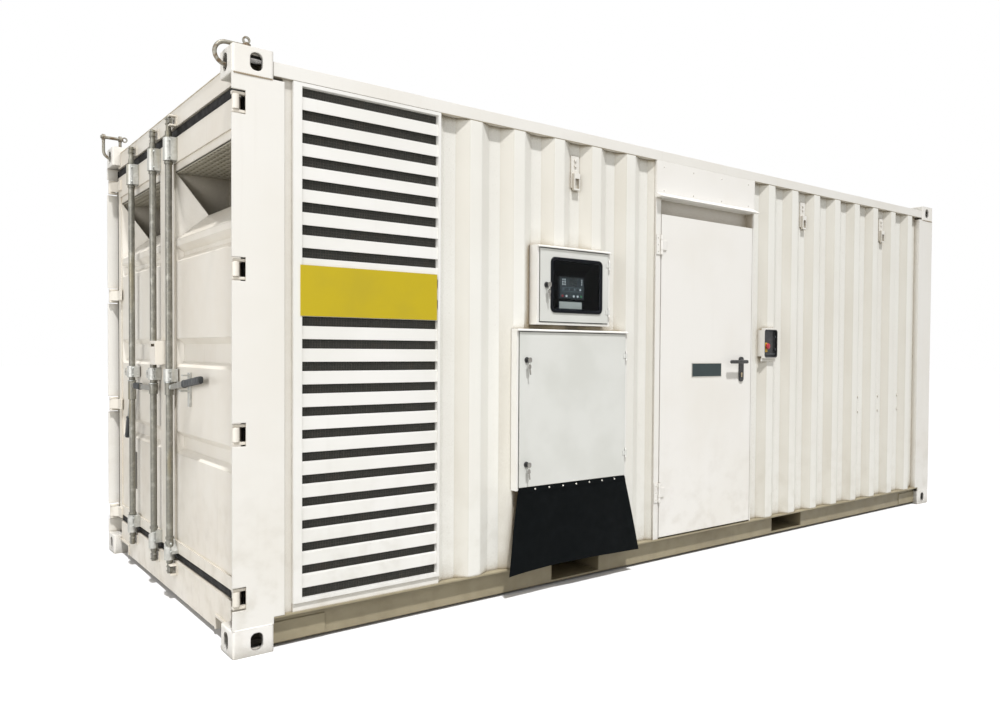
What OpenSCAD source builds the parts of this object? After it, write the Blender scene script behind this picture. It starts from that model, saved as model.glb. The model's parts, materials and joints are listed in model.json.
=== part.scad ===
// Containerised generator set: a twenty-foot steel container with full-height air louvres
// in both long sides, a personnel door, a control box and a power box on the near side, and
// a pair of cargo doors with air-inlet hoppers and three lock bars at one end.
// Millimetres. The origin is on the ground at the centre of the footprint, +X runs from the
// cargo doors to the plain end, the near long side faces -Y, and +Z is up.

/* [Container] */
// Length over the corner castings
length = 6058; // [5900:1:6300]
// Width over the corner castings
width = 2438; // [2400:1:2500]
// Height over the corner castings
height = 2591; // [2580:1:2700]
// Distance between the middles of two wall corrugations
corrugation_pitch = 278; // [270:1:290]
// Depth of a wall corrugation
corrugation_depth = 36; // [20:1:40]
// Thickness of the insulated side walls, crest to lining
wall_t = 80; // [70:1:90]
// Thickness of the floor
floor_t = 30; // [25:1:35]
// Height of the side rail's top, which carries the walls and the floor
rail_top_z = 150; // [148:1:152]
// Middle-to-middle distance of the two fork pockets
fork_spacing = 2050; // [2000:1:2100]
// Clear width of a fork pocket
fork_w = 360; // [340:1:370]
// How far the pockets' middle lies from the container's middle, towards the cargo doors
fork_shift = 45; // [40:1:50]

/* [Louvres] */
// Distance between two louvre blades
blade_pitch = 100.9; // [98:0.1:102]
// Number of slots in a louvre
slot_count = 23; // [20:1:23]
// Height of the open part of a slot
slot_h = 45; // [40:1:50]

/* [Cargo doors] */
// Clear gap between the two leaves
leaf_gap = 20; // [18:1:24]
// Bottom of the leaves
leaf_z0 = 245; // [240:1:250]
// Top of the leaves
leaf_z1 = 2410; // [2405:1:2415]
// Diameter of a lock bar
bar_d = 34; // [27:1:36]
// How far the lock bars stand from the line between the leaves
bar_y = 160; // [150:1:170]
// How far the outer lock bar stands from that line
outer_bar_y = 655; // [640:1:680]

/* [Personnel door] */
// Width of the door leaf
door_w = 903; // [896:1:906]
// Height of the door leaf
door_h = 2006; // [1980:1:2006]

/* [Cabinets] */
// Width of the power box
power_w = 812; // [800:1:816]
// Height of the power box
power_h = 862; // [850:1:868]
// Width of the control box
control_w = 532; // [524:1:540]
// Height of the control box
control_h = 429; // [424:1:436]
// How far both boxes stand out from the castings' side plane
cabinet_out = 35; // [32:1:45]

/* [Hidden] */

$fn = 48;
eps = 1;
half_l = length / 2;
half_w = width / 2;

// Corner castings to ISO 1161
casting = [178, 162, 118];
casting_top_z = height - casting.z;
hole_inset_x = 102.5;
hole_inset_y = 89.5;
twist_slot = [124, 63.5];
side_hole = [54, 76];
side_hole_round = 24;
casting_shell = [20, 18, 20];
casting_face = 28;
casting_round = 12;

// Depths in from the castings' side plane, positive inwards
rail_in = 6;
top_rail = 60;
top_rail_z = height - 100;
roof_top_z = height - 20;
crest_in = 8;
wall_in = crest_in + wall_t;
post_plate_in = 3;
post_plate_t = 8;
post_in = 100;
post_l = 226;
rail_web_in = 45;
rail_web_t = 6;
rail_w = 48;
ledge_in = 4;
ledge_t = 9;
rail_z0 = 17;
fork_z = [28, 140];
fork_x = [for (side = [-1, 1]) half_l - fork_shift + side * fork_spacing / 2];
floor_top_z = rail_top_z + floor_t;

// Louvre field, measured from the door end
louvre_x = [265, 1018];
louvre_z = [188, 2488];
louvre_open_x = [305, 1004];
louvre_top_slot_z = 2472;
louvre_in = 3;

// Corrugations: flat, slope, flat, slope
valley_flat = 70;
valley_slope = 68;
first_valley = 1092;

// Personnel door, measured from the door end
frame_x = [2562, 3532];
door_x = 2611;
door_z = 160;
door_in = 8;
door_t = 52;
door_gap = 5;
head_z = 2265;
door_axis = [2608, 2];
door_hinge_z = [440, 1975];
handle_x = 3405;
handle_z = 1253;

// Cabinets, measured from the door end
power_x = 1465;
power_z = 572;
control_x = 1600;
control_z = 1460;
cabinet_back_in = 150;
casing_t = 3;
casing_rim = 12;
casing_hood = 12;
cabinet_door_t = 20;
cabinet_door_proud = 5;
control_axis_x = control_x + control_w - casing_rim + 2;
power_axis_x = power_x + power_w - casing_rim + 2;
control_hinge_z = [1540, 1810];
power_hinge_z = [720, 1290];

// Emergency stop: the button's place along the length and up
stop_at = [3673, 1360];

// Cargo doors, depths measured in from the door-end plane
leaf_face = 55;
leaf_t = 45;
leaf_edge_in = 62;
stile_w = 60;
meeting_stile_w = 135;
rail_h = 60;
panel_face = 62;
hinge_axis = [20, 18];
hinge_pin_r = 10;
hinge_z = [for (i = [0:3]) 253 + i * 700];
hinge_h = 62;
lug_t = 12;
bar_depth = 22;
hopper_z = [1880, 2244];
hopper_y = [145, 1085];
hopper_depth = 290;
hopper_lip = 135;
sheet_t = 3;
header_in = 48;
sill_in = 45;
header_depth = 120;
header_z = 2460;
sill_z = [28, 205];
gasket_t = 12;

// ---- helpers -------------------------------------------------------------------------

// Block between two opposite corners
module block(a, b) {
    translate(a) cube(b - a);
}

// Block given by its place along the length, in from the near side, and up
module near_block(x, s, z) {
    block([x[0] - half_l, s[0] - half_w, z[0]], [x[1] - half_l, s[1] - half_w, z[1]]);
}

// The children and their mirror image on the far side
module both_sides() {
    children();
    mirror([0, 1, 0]) children();
}

// The children and their mirror image at the other end
module both_ends() {
    children();
    mirror([1, 0, 0]) children();
}

// Rounded rectangle centred on the origin
module rounded_rect(size, r) {
    square([size.x - 2 * r, size.y], center = true);
    square([size.x, size.y - 2 * r], center = true);
    for (i = [-1, 1], j = [-1, 1])
        translate([i * (size.x / 2 - r), j * (size.y / 2 - r)]) circle(r);
}

// Slot with half-round ends, long along its first axis
module slot(size, depth) {
    r = size.y / 2;
    linear_extrude(depth, center = true) {
        square([size.x - 2 * r, size.y], center = true);
        for (side = [-1, 1]) translate([side * (size.x / 2 - r), 0]) circle(r);
    }
}

// Hole with rounded corners
module rounded_hole(size, r, depth) {
    linear_extrude(depth, center = true) rounded_rect(size, r);
}

// Upright plate: an outline drawn in (length, height), thickened along Y from y0 to y1
module upright(y0, y1) {
    translate([0, y1, 0]) rotate([90, 0, 0]) linear_extrude(y1 - y0) children();
}

// ---- castings, shackles and frame ----------------------------------------------------

// Hollow corner casting with its outer corner at the origin and its slotted face downwards
module casting_block() {
    difference() {
        intersection() {
            translate([casting.x / 2, casting.y / 2, 0])
                linear_extrude(casting.z) rounded_rect([casting.x, casting.y], casting_round);
            translate([casting.x / 2, casting.y, casting.z / 2]) rotate([90, 0, 0])
                linear_extrude(casting.y) rounded_rect([casting.x, casting.z], casting_round / 2);
        }
        block([casting_shell.x, casting_shell.y, casting_face],
              [casting.x - 10, casting.y - 12, casting.z - casting_shell.z]);
        translate([hole_inset_x, hole_inset_y, 0]) slot(twist_slot, 2 * casting_face + eps);
        translate([hole_inset_x, 0, casting.z / 2])
            rotate([90, 0, 0]) rounded_hole(side_hole, side_hole_round, 2 * casting_shell.y + eps);
        translate([0, hole_inset_y, casting.z / 2])
            rotate([90, 0, 90]) rounded_hole(side_hole, side_hole_round, 2 * casting_shell.x + eps);
    }
}

module bottom_castings() {
    color("#f0efea") both_ends() both_sides() translate([-half_l, -half_w, 0]) casting_block();
}

module top_castings() {
    color("#f0efea") both_ends() both_sides()
        translate([-half_l, -half_w, height]) mirror([0, 0, 1]) casting_block();
}

// Bow shackles through the end hole and the top slot of the castings at the door end. Each
// is drawn about the middle of its bow, with its pin above, and turned about that middle
shackle_r = 48;
shackle_rod = 9;
shackle_leg = 85;
shackle_x = [5, 12];
shackle_z = height - 21;
shackle_eye_r = 19;
shackle_eye_out = 26.3;
shackle_flat_eye_r = 17;

module shackle_place(x, turn) {
    translate([x - half_l, hole_inset_y - half_w, shackle_z]) rotate([0, turn, 0]) children();
}

module shackle_bow() {
    rotate([90, 0, 0])
        rotate_extrude(angle = -180) translate([shackle_r, 0]) circle(shackle_rod);
    for (side = [-1, 1]) difference() {
        union() {
            translate([side * shackle_r, 0, 0]) cylinder(r = shackle_rod, h = shackle_leg);
            translate([side * shackle_r, 0, shackle_leg]) rotate([0, 90, 0])
                cylinder(r = shackle_eye_r, h = 2 * shackle_rod, center = true);
        }
        translate([side * shackle_r, 0, shackle_leg]) rotate([0, 90, 0])
            cylinder(r = shackle_rod + 1, h = 4 * shackle_rod, center = true);
    }
}

// Shackle pin with its flat eye beyond the leg on one side
module shackle_pin(side) {
    translate([0, 0, shackle_leg]) {
        rotate([0, 90, 0]) cylinder(r = shackle_rod + 1, h = 2 * shackle_r + 34, center = true);
        translate([side * (shackle_r + shackle_eye_out), 0, 0]) rotate([90, 0, 0]) difference() {
            cylinder(r = shackle_flat_eye_r, h = 8, center = true);
            cylinder(r = 9, h = 9, center = true);
        }
    }
}

module lifting_shackles() {
    color("#7f7d74") {
        shackle_place(shackle_x[0], 90) shackle_bow();
        mirror([0, 1, 0]) shackle_place(shackle_x[1], 0) shackle_bow();
    }
}

module shackle_pins() {
    color("#8c8a80") {
        shackle_place(shackle_x[0], 90) shackle_pin(-1);
        mirror([0, 1, 0]) shackle_place(shackle_x[1], 0) shackle_pin(1);
    }
}

// Post at the door end: an outer plate, notched round the hinges, and the section behind
// it. Beside the casting it stands on the side rail
module post_door_end() {
    notch_h = hinge_h + 2 * lug_t + 14;
    skin = [post_plate_in, post_plate_in + post_plate_t];
    difference() {
        union() {
            near_block([0, casting.x], skin, [casting.z, casting_top_z]);
            near_block([casting.x, post_l], skin, [rail_top_z, casting_top_z]);
            near_block([112, casting.x], [skin[1], post_in], [casting.z, casting_top_z]);
            near_block([casting.x, post_l], [skin[1], post_in], [rail_top_z, casting_top_z]);
        }
        for (z = hinge_z)
            near_block([-eps, 58], [0, 20], [z - notch_h / 2, z + notch_h / 2]);
    }
}

module post_plain_end() {
    skin = [post_plate_in, post_plate_in + post_plate_t];
    near_block([length - casting.x, length], skin, [casting.z, casting_top_z]);
    near_block([length - post_l, length - casting.x], skin, [rail_top_z, casting_top_z]);
    near_block([length - 120, length - 6], [skin[1], post_in], [casting.z, casting_top_z]);
    near_block([length - post_l, length - casting.x], [skin[1], wall_in],
               [rail_top_z, casting_top_z]);
}

module corner_posts() {
    color("#f1f0eb") both_sides() {
        post_door_end();
        post_plain_end();
    }
}

module top_side_rails() {
    color("#f1f0eb") both_sides()
        near_block([casting.x, length - casting.x], [rail_in, rail_in + top_rail],
                   [top_rail_z, top_rail_z + top_rail]);
}

// Channel-section bottom rail with doubler plates, cut through at the fork pockets. A ledge
// along its top closes the wall's corrugations from below
module bottom_side_rails() {
    web = rail_web_in;
    doubler_z = [rail_z0 + 4, 112];
    color("#a89b7c") both_sides() {
        difference() {
            near_block([casting.x, length - casting.x], [web, web + rail_w],
                       [rail_z0, rail_top_z]);
            near_block([casting.x - eps, length - casting.x + eps],
                       [web + rail_web_t, web + rail_w + eps],
                       [rail_z0 + rail_web_t, rail_top_z - rail_web_t]);
            for (x = fork_x)
                near_block([x - fork_w / 2, x + fork_w / 2],
                           [web - eps, web + rail_web_t + eps], fork_z);
        }
        near_block([casting.x, length - casting.x], [ledge_in, web],
                   [rail_top_z - ledge_t, rail_top_z]);
        near_block([casting.x, 430], [web - 5, web], doubler_z);
        near_block([length - 430, length - casting.x], [web - 5, web], doubler_z);
    }
}

// Headers over the doors and at the plain end
module end_headers() {
    x = [header_in, header_in + header_depth];
    color("#ecebe5") {
        near_block(x, [casting.y, width - casting.y], [header_z, top_rail_z + top_rail]);
        near_block(x, [post_in, casting.y], [header_z, casting_top_z]);
        near_block(x, [width - casting.y, width - post_in], [header_z, casting_top_z]);
        near_block([length - 120, length - 10], [casting.y, width - casting.y],
                   [casting_top_z, top_rail_z + top_rail]);
    }
}

// Sill under the doors, cut away beside the castings and stiffened round the cuts
module door_sill() {
    cut = 200;
    cut_z = 85;
    rim = 12;
    x = [sill_in, header_in + header_depth];
    color("#ecebe5") difference() {
        union() {
            near_block(x, [casting.y, width - casting.y], sill_z);
            both_sides() near_block([sill_in - 6, sill_in], [casting.y, casting.y + cut + rim],
                                    [sill_z[0], cut_z + rim]);
        }
        both_sides() near_block([sill_in - 7, x[1] + eps], [casting.y - eps, casting.y + cut],
                                [0, cut_z]);
    }
}

module plain_end_sill() {
    color("#a89b7c")
        near_block([length - 168, length - 10], [casting.y, width - casting.y],
                   [sill_z[0], rail_top_z]);
}

// ---- floor, roof and walls -----------------------------------------------------------

// Channel cross member between the two bottom rails
module crossmember(x) {
    s = [rail_web_in + rail_w, width - rail_web_in - rail_w];
    difference() {
        near_block([x - 22, x + 23], s, [sill_z[0], rail_top_z]);
        near_block([x - 18, x + 24], [s[0] - eps, s[1] + eps],
                   [sill_z[0] + 4, rail_top_z - 4]);
    }
}

module floor_crossmembers() {
    inner = [for (i = [-2:2]) i * 320];
    outer = [for (i = [0:3]) 1410 + i * 400];
    color("#8d8268") {
        for (offset = inner) crossmember(half_l + offset);
        for (offset = outer, side = [-1, 1]) crossmember(half_l + side * offset);
    }
}

module fork_pockets() {
    t = 4;
    s = [rail_web_in + rail_web_t, width - rail_web_in - rail_web_t];
    color("#8d8268") for (x = fork_x) difference() {
        near_block([x - fork_w / 2 - t, x + fork_w / 2 + t], s,
                   [fork_z[0] - t, fork_z[1] + t]);
        near_block([x - fork_w / 2, x + fork_w / 2], [s[0] - eps, s[1] + eps], fork_z);
    }
}

// Deck between the linings, set in at the posts
module floor_deck() {
    z = [rail_top_z, floor_top_z];
    color("#6e6a60") {
        near_block([header_in + header_depth, post_l], [post_in, width - post_in], z);
        near_block([post_l, length - 120], [wall_in, width - wall_in], z);
        near_block([length - 120, length - 22 - wall_t], [post_in, width - post_in], z);
    }
}

// Roof with cross corrugations that run out before its flat margin on the side rails
module roof_panel() {
    pitch = 209;
    rail_top = top_rail_z + top_rail;
    sheet_top = rail_top + 4;
    margin = [110, 150];
    color("#efeeea") {
        near_block([header_in + header_depth, length - 120],
                   [casting.y, width - casting.y], [top_rail_z, rail_top]);
        near_block([casting.x, length - casting.x],
                   [rail_in + top_rail, width - rail_in - top_rail],
                   [top_rail_z, rail_top]);
        near_block([casting.x + 2, length - casting.x - 2], [25, width - 25],
                   [rail_top, sheet_top]);
        difference() {
            translate([casting.x + 2 - half_l, 0, 0]) rotate([90, 0, 90])
                linear_extrude(length - 2 * casting.x - 4) polygon([
                    [margin[0] - half_w, rail_top], [half_w - margin[0], rail_top],
                    [half_w - margin[1], roof_top_z], [margin[1] - half_w, roof_top_z]]);
            for (i = [0:26]) {
                x = casting.x + 130 + i * pitch - half_l;
                upright(-half_w, half_w) polygon([
                    [x - 58, roof_top_z + eps], [x - 45, sheet_top],
                    [x + 45, sheet_top], [x + 58, roof_top_z + eps]]);
            }
        }
    }
}

// Plan outline of one corrugation valley, open outwards
module valley_outline(centre) {
    flat = valley_flat / 2;
    polygon([
        [centre - flat - valley_slope, crest_in - half_w], [centre - flat - valley_slope, -half_w],
        [centre + flat + valley_slope, -half_w], [centre + flat + valley_slope, crest_in - half_w],
        [centre + flat, crest_in + corrugation_depth - half_w],
        [centre - flat, crest_in + corrugation_depth - half_w]]);
}

// Insulated side wall with a corrugated skin and a flat lining, between two places
module side_wall(x) {
    reach = valley_flat / 2 + valley_slope;
    first = ceil((x[0] - reach - first_valley) / corrugation_pitch);
    last = floor((x[1] + reach - first_valley) / corrugation_pitch);
    difference() {
        near_block(x, [crest_in, wall_in], [rail_top_z, top_rail_z]);
        for (k = [first:last]) translate([0, 0, rail_top_z - eps])
            linear_extrude(top_rail_z - rail_top_z + 2 * eps)
                valley_outline(first_valley + k * corrugation_pitch - half_l);
    }
}

// Near wall on both sides of the personnel door, cut through for the two cabinets
module near_wall() {
    color("#f2f1ec") {
        difference() {
            side_wall([louvre_x[1], frame_x[0]]);
            near_block([power_x, power_x + power_w], [0, wall_in + eps],
                       [power_z, power_z + power_h]);
            near_block([control_x, control_x + control_w], [0, wall_in + eps],
                       [control_z, control_z + control_h]);
        }
        side_wall([frame_x[1], length - post_l]);
    }
}

module far_wall() {
    color("#f2f1ec") mirror([0, 1, 0]) side_wall([louvre_x[1], length - post_l]);
}

// End wall with upright corrugations
module plain_end_wall() {
    pitch = 250;
    depth = 45;
    face = half_l - 22;
    color("#f2f1ec") difference() {
        near_block([length - 22 - wall_t, length - 22], [post_in, width - post_in],
                   [rail_top_z, casting_top_z]);
        for (i = [-4:4]) translate([0, 0, rail_top_z - eps])
            linear_extrude(casting_top_z - rail_top_z + 2 * eps) polygon([
                [face + eps, i * pitch - 72], [face - depth, i * pitch - 52],
                [face - depth, i * pitch + 52], [face + eps, i * pitch + 72]]);
    }
}

// ---- louvres -------------------------------------------------------------------------

// Recessed sheet round a louvre, between the post, the rails and the wall
module louvre_surrounds() {
    color("#eceae3") both_sides() {
        near_block([post_l, louvre_x[0]], [25, wall_in], [rail_top_z, top_rail_z]);
        near_block([louvre_x[0] + 0.2, louvre_x[1]], [12, wall_in],
                   [rail_top_z, louvre_z[0]]);
    }
}

module louvre_frames() {
    color("#f3f2ee") both_sides() difference() {
        near_block(louvre_x, [louvre_in, wall_in], louvre_z);
        near_block(louvre_open_x, [0, wall_in + eps], [205, louvre_top_slot_z]);
    }
}

// One bent blade: a short sloping top that sheds water and an upright face, under the slot
// whose top is z
module louvre_blade(z) {
    t = 3;
    lip_z = z - slot_h;
    rise = 3.5;
    front = 8;
    back = 26;
    translate([louvre_open_x[0] - half_l, 0, 0]) rotate([90, 0, 90])
        linear_extrude(louvre_open_x[1] - louvre_open_x[0]) polygon([
            [back - half_w, lip_z + rise], [front - half_w, lip_z],
            [front - half_w, z - blade_pitch], [front + t - half_w, z - blade_pitch],
            [front + t - half_w, lip_z - t], [back - half_w, lip_z + rise - t - 0.6]]);
}

module louvre_blades() {
    color("#efeee9") both_sides() for (i = [0:slot_count - 2])
        louvre_blade(louvre_top_slot_z - i * blade_pitch);
}

module louvre_screens() {
    color("#3a3833") both_sides()
        near_block(louvre_open_x, [31, 34], [205, louvre_top_slot_z]);
}

// Plain coloured plate across two louvre slots
module name_band_plate() {
    color("#c9b31f") near_block([296, 996], [0, louvre_in], [1465, 1690]);
}

// Small bracket with two bolts, set in a corrugation valley near the top
module wall_bracket(x) {
    s = crest_in + corrugation_depth;
    difference() {
        union() {
            near_block([x - 30, x + 30], [s - 5, s], [2240, 2420]);
            near_block([x - 22, x + 22], [s - 26, s - 5], [2225, 2320]);
        }
        near_block([x - 15, x + 15], [s - 27, s - 10], [2235, 2290]);
    }
    for (z = [2365, 2395]) translate([x - half_l, s - 5 - half_w, z])
        rotate([90, 0, 0]) cylinder(r = 8, h = 6);
}

module wall_brackets() {
    color("#f0efe9") for (k = [3, 11, 15]) wall_bracket(first_valley + k * corrugation_pitch);
}

// ---- personnel door ------------------------------------------------------------------

// Flat panel over the door with a sloping drip edge
module door_head_panel() {
    color("#f3f2ee") {
        near_block(frame_x, [5, wall_in], [head_z, top_rail_z]);
        translate([frame_x[0] - half_l, 0, 0]) rotate([90, 0, 90])
            linear_extrude(frame_x[1] - frame_x[0]) polygon([
                [5 - half_w, head_z + 28], [-38 - half_w, head_z + 4],
                [-38 - half_w, head_z], [5 - half_w, head_z]]);
    }
}

// Jambs, head and threshold, with a stop behind the leaf
module personnel_door_frame() {
    left = door_x - door_gap;
    right = door_x + door_w + door_gap;
    stop = 20;
    stop_in = door_in + door_t + door_gap;
    color("#efeee9") {
        near_block([frame_x[0], left], [10, wall_in], [rail_top_z, head_z]);
        near_block([right, frame_x[1]], [10, wall_in], [rail_top_z, head_z]);
        near_block([left, left + stop], [stop_in, wall_in], [floor_top_z, head_z]);
        near_block([right - stop, right], [stop_in, wall_in], [floor_top_z, head_z]);
        near_block([left + stop, right - stop], [stop_in, wall_in],
                   [door_z + door_h - stop, head_z]);
        near_block([left, right], [stop_in, wall_in], [rail_top_z, floor_top_z]);
        for (z = door_hinge_z) door_hinge_plate(z);
    }
}

// Fixed half of a door hinge: a plate on the jamb, the pin and the two outer knuckles
module door_hinge_plate(z) {
    near_block([frame_x[0] + 3, door_axis[0] - 9], [6, 10], [z - 60, z + 60]);
    translate([door_axis[0] - half_l, door_axis[1] - half_w, z]) {
        cylinder(r = 4, h = 120, center = true);
        for (end = [-1, 1]) translate([0, 0, end * 45]) cylinder(r = 8, h = 30, center = true);
    }
    for (end = [-1, 1])
        near_block([door_axis[0] - 12, door_axis[0] - 2], [2, 10],
                   [z + end * 45 - 15, z + end * 45 + 15]);
}

// Flat leaf with the moving knuckles of its hinges
module personnel_door_leaf() {
    spindle = [handle_x - half_l, -half_w, handle_z];
    color("#f4f3ef") {
        difference() {
            near_block([door_x, door_x + door_w], [door_in, door_in + door_t],
                       [door_z, door_z + door_h]);
            translate(spindle) rotate([-90, 0, 0]) cylinder(r = 9, h = 40);
            for (z = door_hinge_z)
                near_block([door_x - eps, door_axis[0] + 14], [0, 14], [z - 62, z + 62]);
        }
        for (z = door_hinge_z) difference() {
            union() {
                translate([door_axis[0] - half_l, door_axis[1] - half_w, z])
                    cylinder(r = 8, h = 58, center = true);
                near_block([door_axis[0], door_axis[0] + 44], [2, door_in],
                           [z - 29, z + 29]);
            }
            translate([door_axis[0] - half_l, door_axis[1] - half_w, z])
                cylinder(r = 4.08, h = 70, center = true);
        }
    }
}

// Dark plain plate on the leaf
module personnel_door_plate() {
    color("#1e2f30")
        near_block([2904, 3199], [door_in - 2, door_in], [1155, 1245]);
}

// Handle plate with rounded ends
module handle_plate() {
    middle_z = 1202;
    color("#1c1b1b") translate([handle_x - half_l, door_in - half_w, middle_z])
        rotate([90, 0, 0]) linear_extrude(8) difference() {
            rounded_rect([47, 167], 20);
            translate([0, handle_z - middle_z]) circle(10);
        }
}

// Lever with its hub on the spindle, reaching towards the door's hinges
module personnel_door_handle() {
    color("#191919") translate([handle_x - half_l, 0, handle_z]) {
        translate([0, door_in + 25 - half_w, 0]) rotate([90, 0, 0]) cylinder(r = 8, h = 66);
        translate([-72, -37 - half_w, 0]) rotate([90, 0, 0])
            linear_extrude(18, center = true) rounded_rect([186, 26], 12);
    }
}

// ---- cabinets ------------------------------------------------------------------------

// Hollow casing with an open front, a thin rim and a sloping rain hood over the door
module casing(x, z, size) {
    front = -cabinet_out;
    difference() {
        near_block([x, x + size.x], [front, cabinet_back_in], [z, z + size.y]);
        near_block([x + casing_t, x + size.x - casing_t],
                   [front + cabinet_door_t + 8, cabinet_back_in - casing_t],
                   [z + casing_t, z + size.y - casing_t]);
        near_block([x + casing_rim, x + size.x - casing_rim],
                   [front - eps, front + cabinet_door_t + 9],
                   [z + casing_rim, z + size.y - casing_hood]);
    }
    translate([x - half_l, 0, 0]) rotate([90, 0, 90]) linear_extrude(size.x) polygon([
        [front - half_w, z + size.y], [front - 14 - half_w, z + size.y - 6],
        [front - 14 - half_w, z + size.y - casing_hood],
        [front - half_w, z + size.y - casing_hood]]);
}

// Inset cabinet door: a shallow tray, hinged at its right edge
module cabinet_door(x, z, size) {
    front = -cabinet_out - cabinet_door_proud;
    gap = 5;
    x0 = x + casing_rim + gap;
    x1 = x + size.x - casing_rim - gap;
    z0 = z + casing_rim + gap;
    z1 = z + size.y - casing_hood - gap;
    difference() {
        near_block([x0, x1], [front, front + cabinet_door_t], [z0, z1]);
        near_block([x0 + 2, x1 - 2], [front + 2, front + cabinet_door_t + eps],
                   [z0 + 2, z1 - 2]);
    }
}

// Barrel hinges of a cabinet door: the turning part, or the fixed ends and the pin
module cabinet_hinge(x, heights, fixed) {
    axis = [x - half_l, -cabinet_out - 8 - half_w];
    for (z = heights) if (fixed) {
        translate([axis.x, axis.y, z]) cylinder(r = 3, h = 52, center = true);
        for (end = [-1, 1]) translate([axis.x, axis.y, z + end * 20]) {
            cylinder(r = 6, h = 12, center = true);
            translate([0, 0, -6]) cube([6, 8, 12]);
        }
    } else difference() {
        union() {
            translate([axis.x, axis.y, z]) cylinder(r = 6, h = 26, center = true);
            translate([axis.x - 24, axis.y + 1, z - 13]) cube([24, 2, 26]);
        }
        translate([axis.x, axis.y, z]) cylinder(r = 3.08, h = 30, center = true);
    }
}

// Round key lock with its key
module key_lock(x, z) {
    front = -cabinet_out - cabinet_door_proud;
    translate([x - half_l, front - half_w, z]) rotate([90, 0, 0]) {
        cylinder(r = 13, h = 6);
        translate([0, 0, 6]) linear_extrude(22) square([3, 9], center = true);
        translate([0, 0, 28]) linear_extrude(3) rounded_rect([22, 26], 8);
    }
}

module control_box_body() {
    color("#f2f1ed") casing(control_x, control_z, [control_w, control_h]);
}

module power_box_body() {
    color("#f2f1ed") casing(power_x, power_z, [power_w, power_h]);
}

window_c = [1878, 1678];
window_size = [381, 303];

module control_box_door() {
    front = -cabinet_out - cabinet_door_proud;
    color("#dedfda") {
        difference() {
            cabinet_door(control_x, control_z, [control_w, control_h]);
            translate([window_c.x - half_l, front - half_w, window_c.y]) rotate([90, 0, 0])
                linear_extrude(3 * cabinet_door_t, center = true)
                    rounded_rect(window_size - [36, 36], 12);
        }
        key_lock(1659, 1675);
        cabinet_hinge(control_axis_x, control_hinge_z, false);
    }
}

// Rounded rubber frame and the pane that it holds
module control_box_window() {
    front = -cabinet_out - cabinet_door_proud;
    color("#15181b") translate([window_c.x - half_l, front - half_w, window_c.y])
        rotate([90, 0, 0]) difference() {
            linear_extrude(7) rounded_rect(window_size, 30);
            translate([0, 0, 4]) linear_extrude(4) rounded_rect(window_size - [30, 30], 18);
        }
}

// Dark mounting plate with the controller and a small plain plate below it
module control_panel() {
    x = [control_x + casing_t, control_x + control_w - casing_t];
    color("#20262b") {
        near_block(x, [20, 24], [control_z + casing_t, control_z + control_h - casing_t]);
        near_block([1789, 1972], [8, 20], [1609, 1732]);
        near_block([1793, 1967], [16, 20], [1551, 1597]);
    }
}

module power_box_door() {
    color("#dedfda") {
        cabinet_door(power_x, power_z, [power_w, power_h]);
        for (z = [710, 1268]) key_lock(1528, z);
        cabinet_hinge(power_axis_x, power_hinge_z, false);
    }
}

// Fixed halves of the cabinet doors' hinges, standing on the rims
module cabinet_hinges() {
    color("#c8c8c2") {
        cabinet_hinge(control_axis_x, control_hinge_z, true);
        cabinet_hinge(power_axis_x, power_hinge_z, true);
    }
}

// Rubber sheet that hides the cables under the power box
module rubber_skirt() {
    t = 6;
    top_z = power_z + 13;
    drop = 440;
    mid = power_x + power_w / 2 - half_l;
    color("#12181b") translate([mid, -cabinet_out - half_w, top_z]) rotate([-3, 0, 0])
        rotate([90, 0, 0]) linear_extrude(t) polygon([
            [-388, 0], [392, 0], [494, -drop], [-466, -drop]]);
}

// Emergency stop: a housing with a rounded mouth, on a bracket in the wall's corrugation
module stop_box() {
    x = [3632, 3782];
    z = [1275, 1487];
    color("#efeee9") {
        difference() {
            near_block(x, [-18, crest_in], z);
            translate([(x[0] + x[1]) / 2 - half_l, -half_w, z[0] + 104])
                rotate([90, 0, 0]) linear_extrude(40) rounded_rect([139, 187], 15);
            translate([stop_at.x - half_l, -eps - half_w, stop_at.y])
                rotate([-90, 0, 0]) cylinder(r = 9, h = crest_in + 2 * eps);
        }
        near_block([x[0] - 8, x[1] + 8], [crest_in - 4, crest_in], [z[0] - 22, z[0]]);
        translate([-half_l, -half_w, z[0] + 14]) linear_extrude(z[1] - z[0] - 28) polygon([
            [x[0], crest_in], [x[0] + 25, crest_in], [x[0] + 25, crest_in + 21],
            [x[0], crest_in + 34]]);
    }
}

module stop_button() {
    color("#b3202a") translate([stop_at.x - half_l, 2 - half_w, stop_at.y])
        rotate([90, 0, 0]) {
            cylinder(r = 8, h = 17);
            translate([0, 0, 16]) cylinder(r = 19, h = 9);
        }
}

// ---- cargo doors ---------------------------------------------------------------------

// Two lugs and the pin of one cargo door hinge, on the near post
module hinge_lugs(z) {
    for (end = [-1, 1]) {
        middle = z + end * (hinge_h / 2 + 1 + lug_t / 2);
        near_block([5, 112], [hinge_axis[1] - 6, 34], [middle - lug_t / 2, middle + lug_t / 2]);
    }
    translate([hinge_axis[0] - half_l, hinge_axis[1] - half_w, z])
        cylinder(r = hinge_pin_r, h = hinge_h + 2, center = true);
}

module cargo_hinge_lugs() {
    color("#edece6") both_sides() for (z = hinge_z) hinge_lugs(z);
}

// Moving hinge blade, part of the leaf frame
module hinge_blade(z) {
    translate([-half_l, -half_w, z - hinge_h / 2]) linear_extrude(hinge_h) difference() {
        union() {
            translate(hinge_axis) circle(15);
            polygon([[10, 29], [34, 22], [leaf_face, 58], [leaf_face, 150],
                     [leaf_face - 10, 150], [leaf_face - 10, 70]]);
        }
        translate(hinge_axis) circle(hinge_pin_r + 0.08);
    }
}

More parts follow.
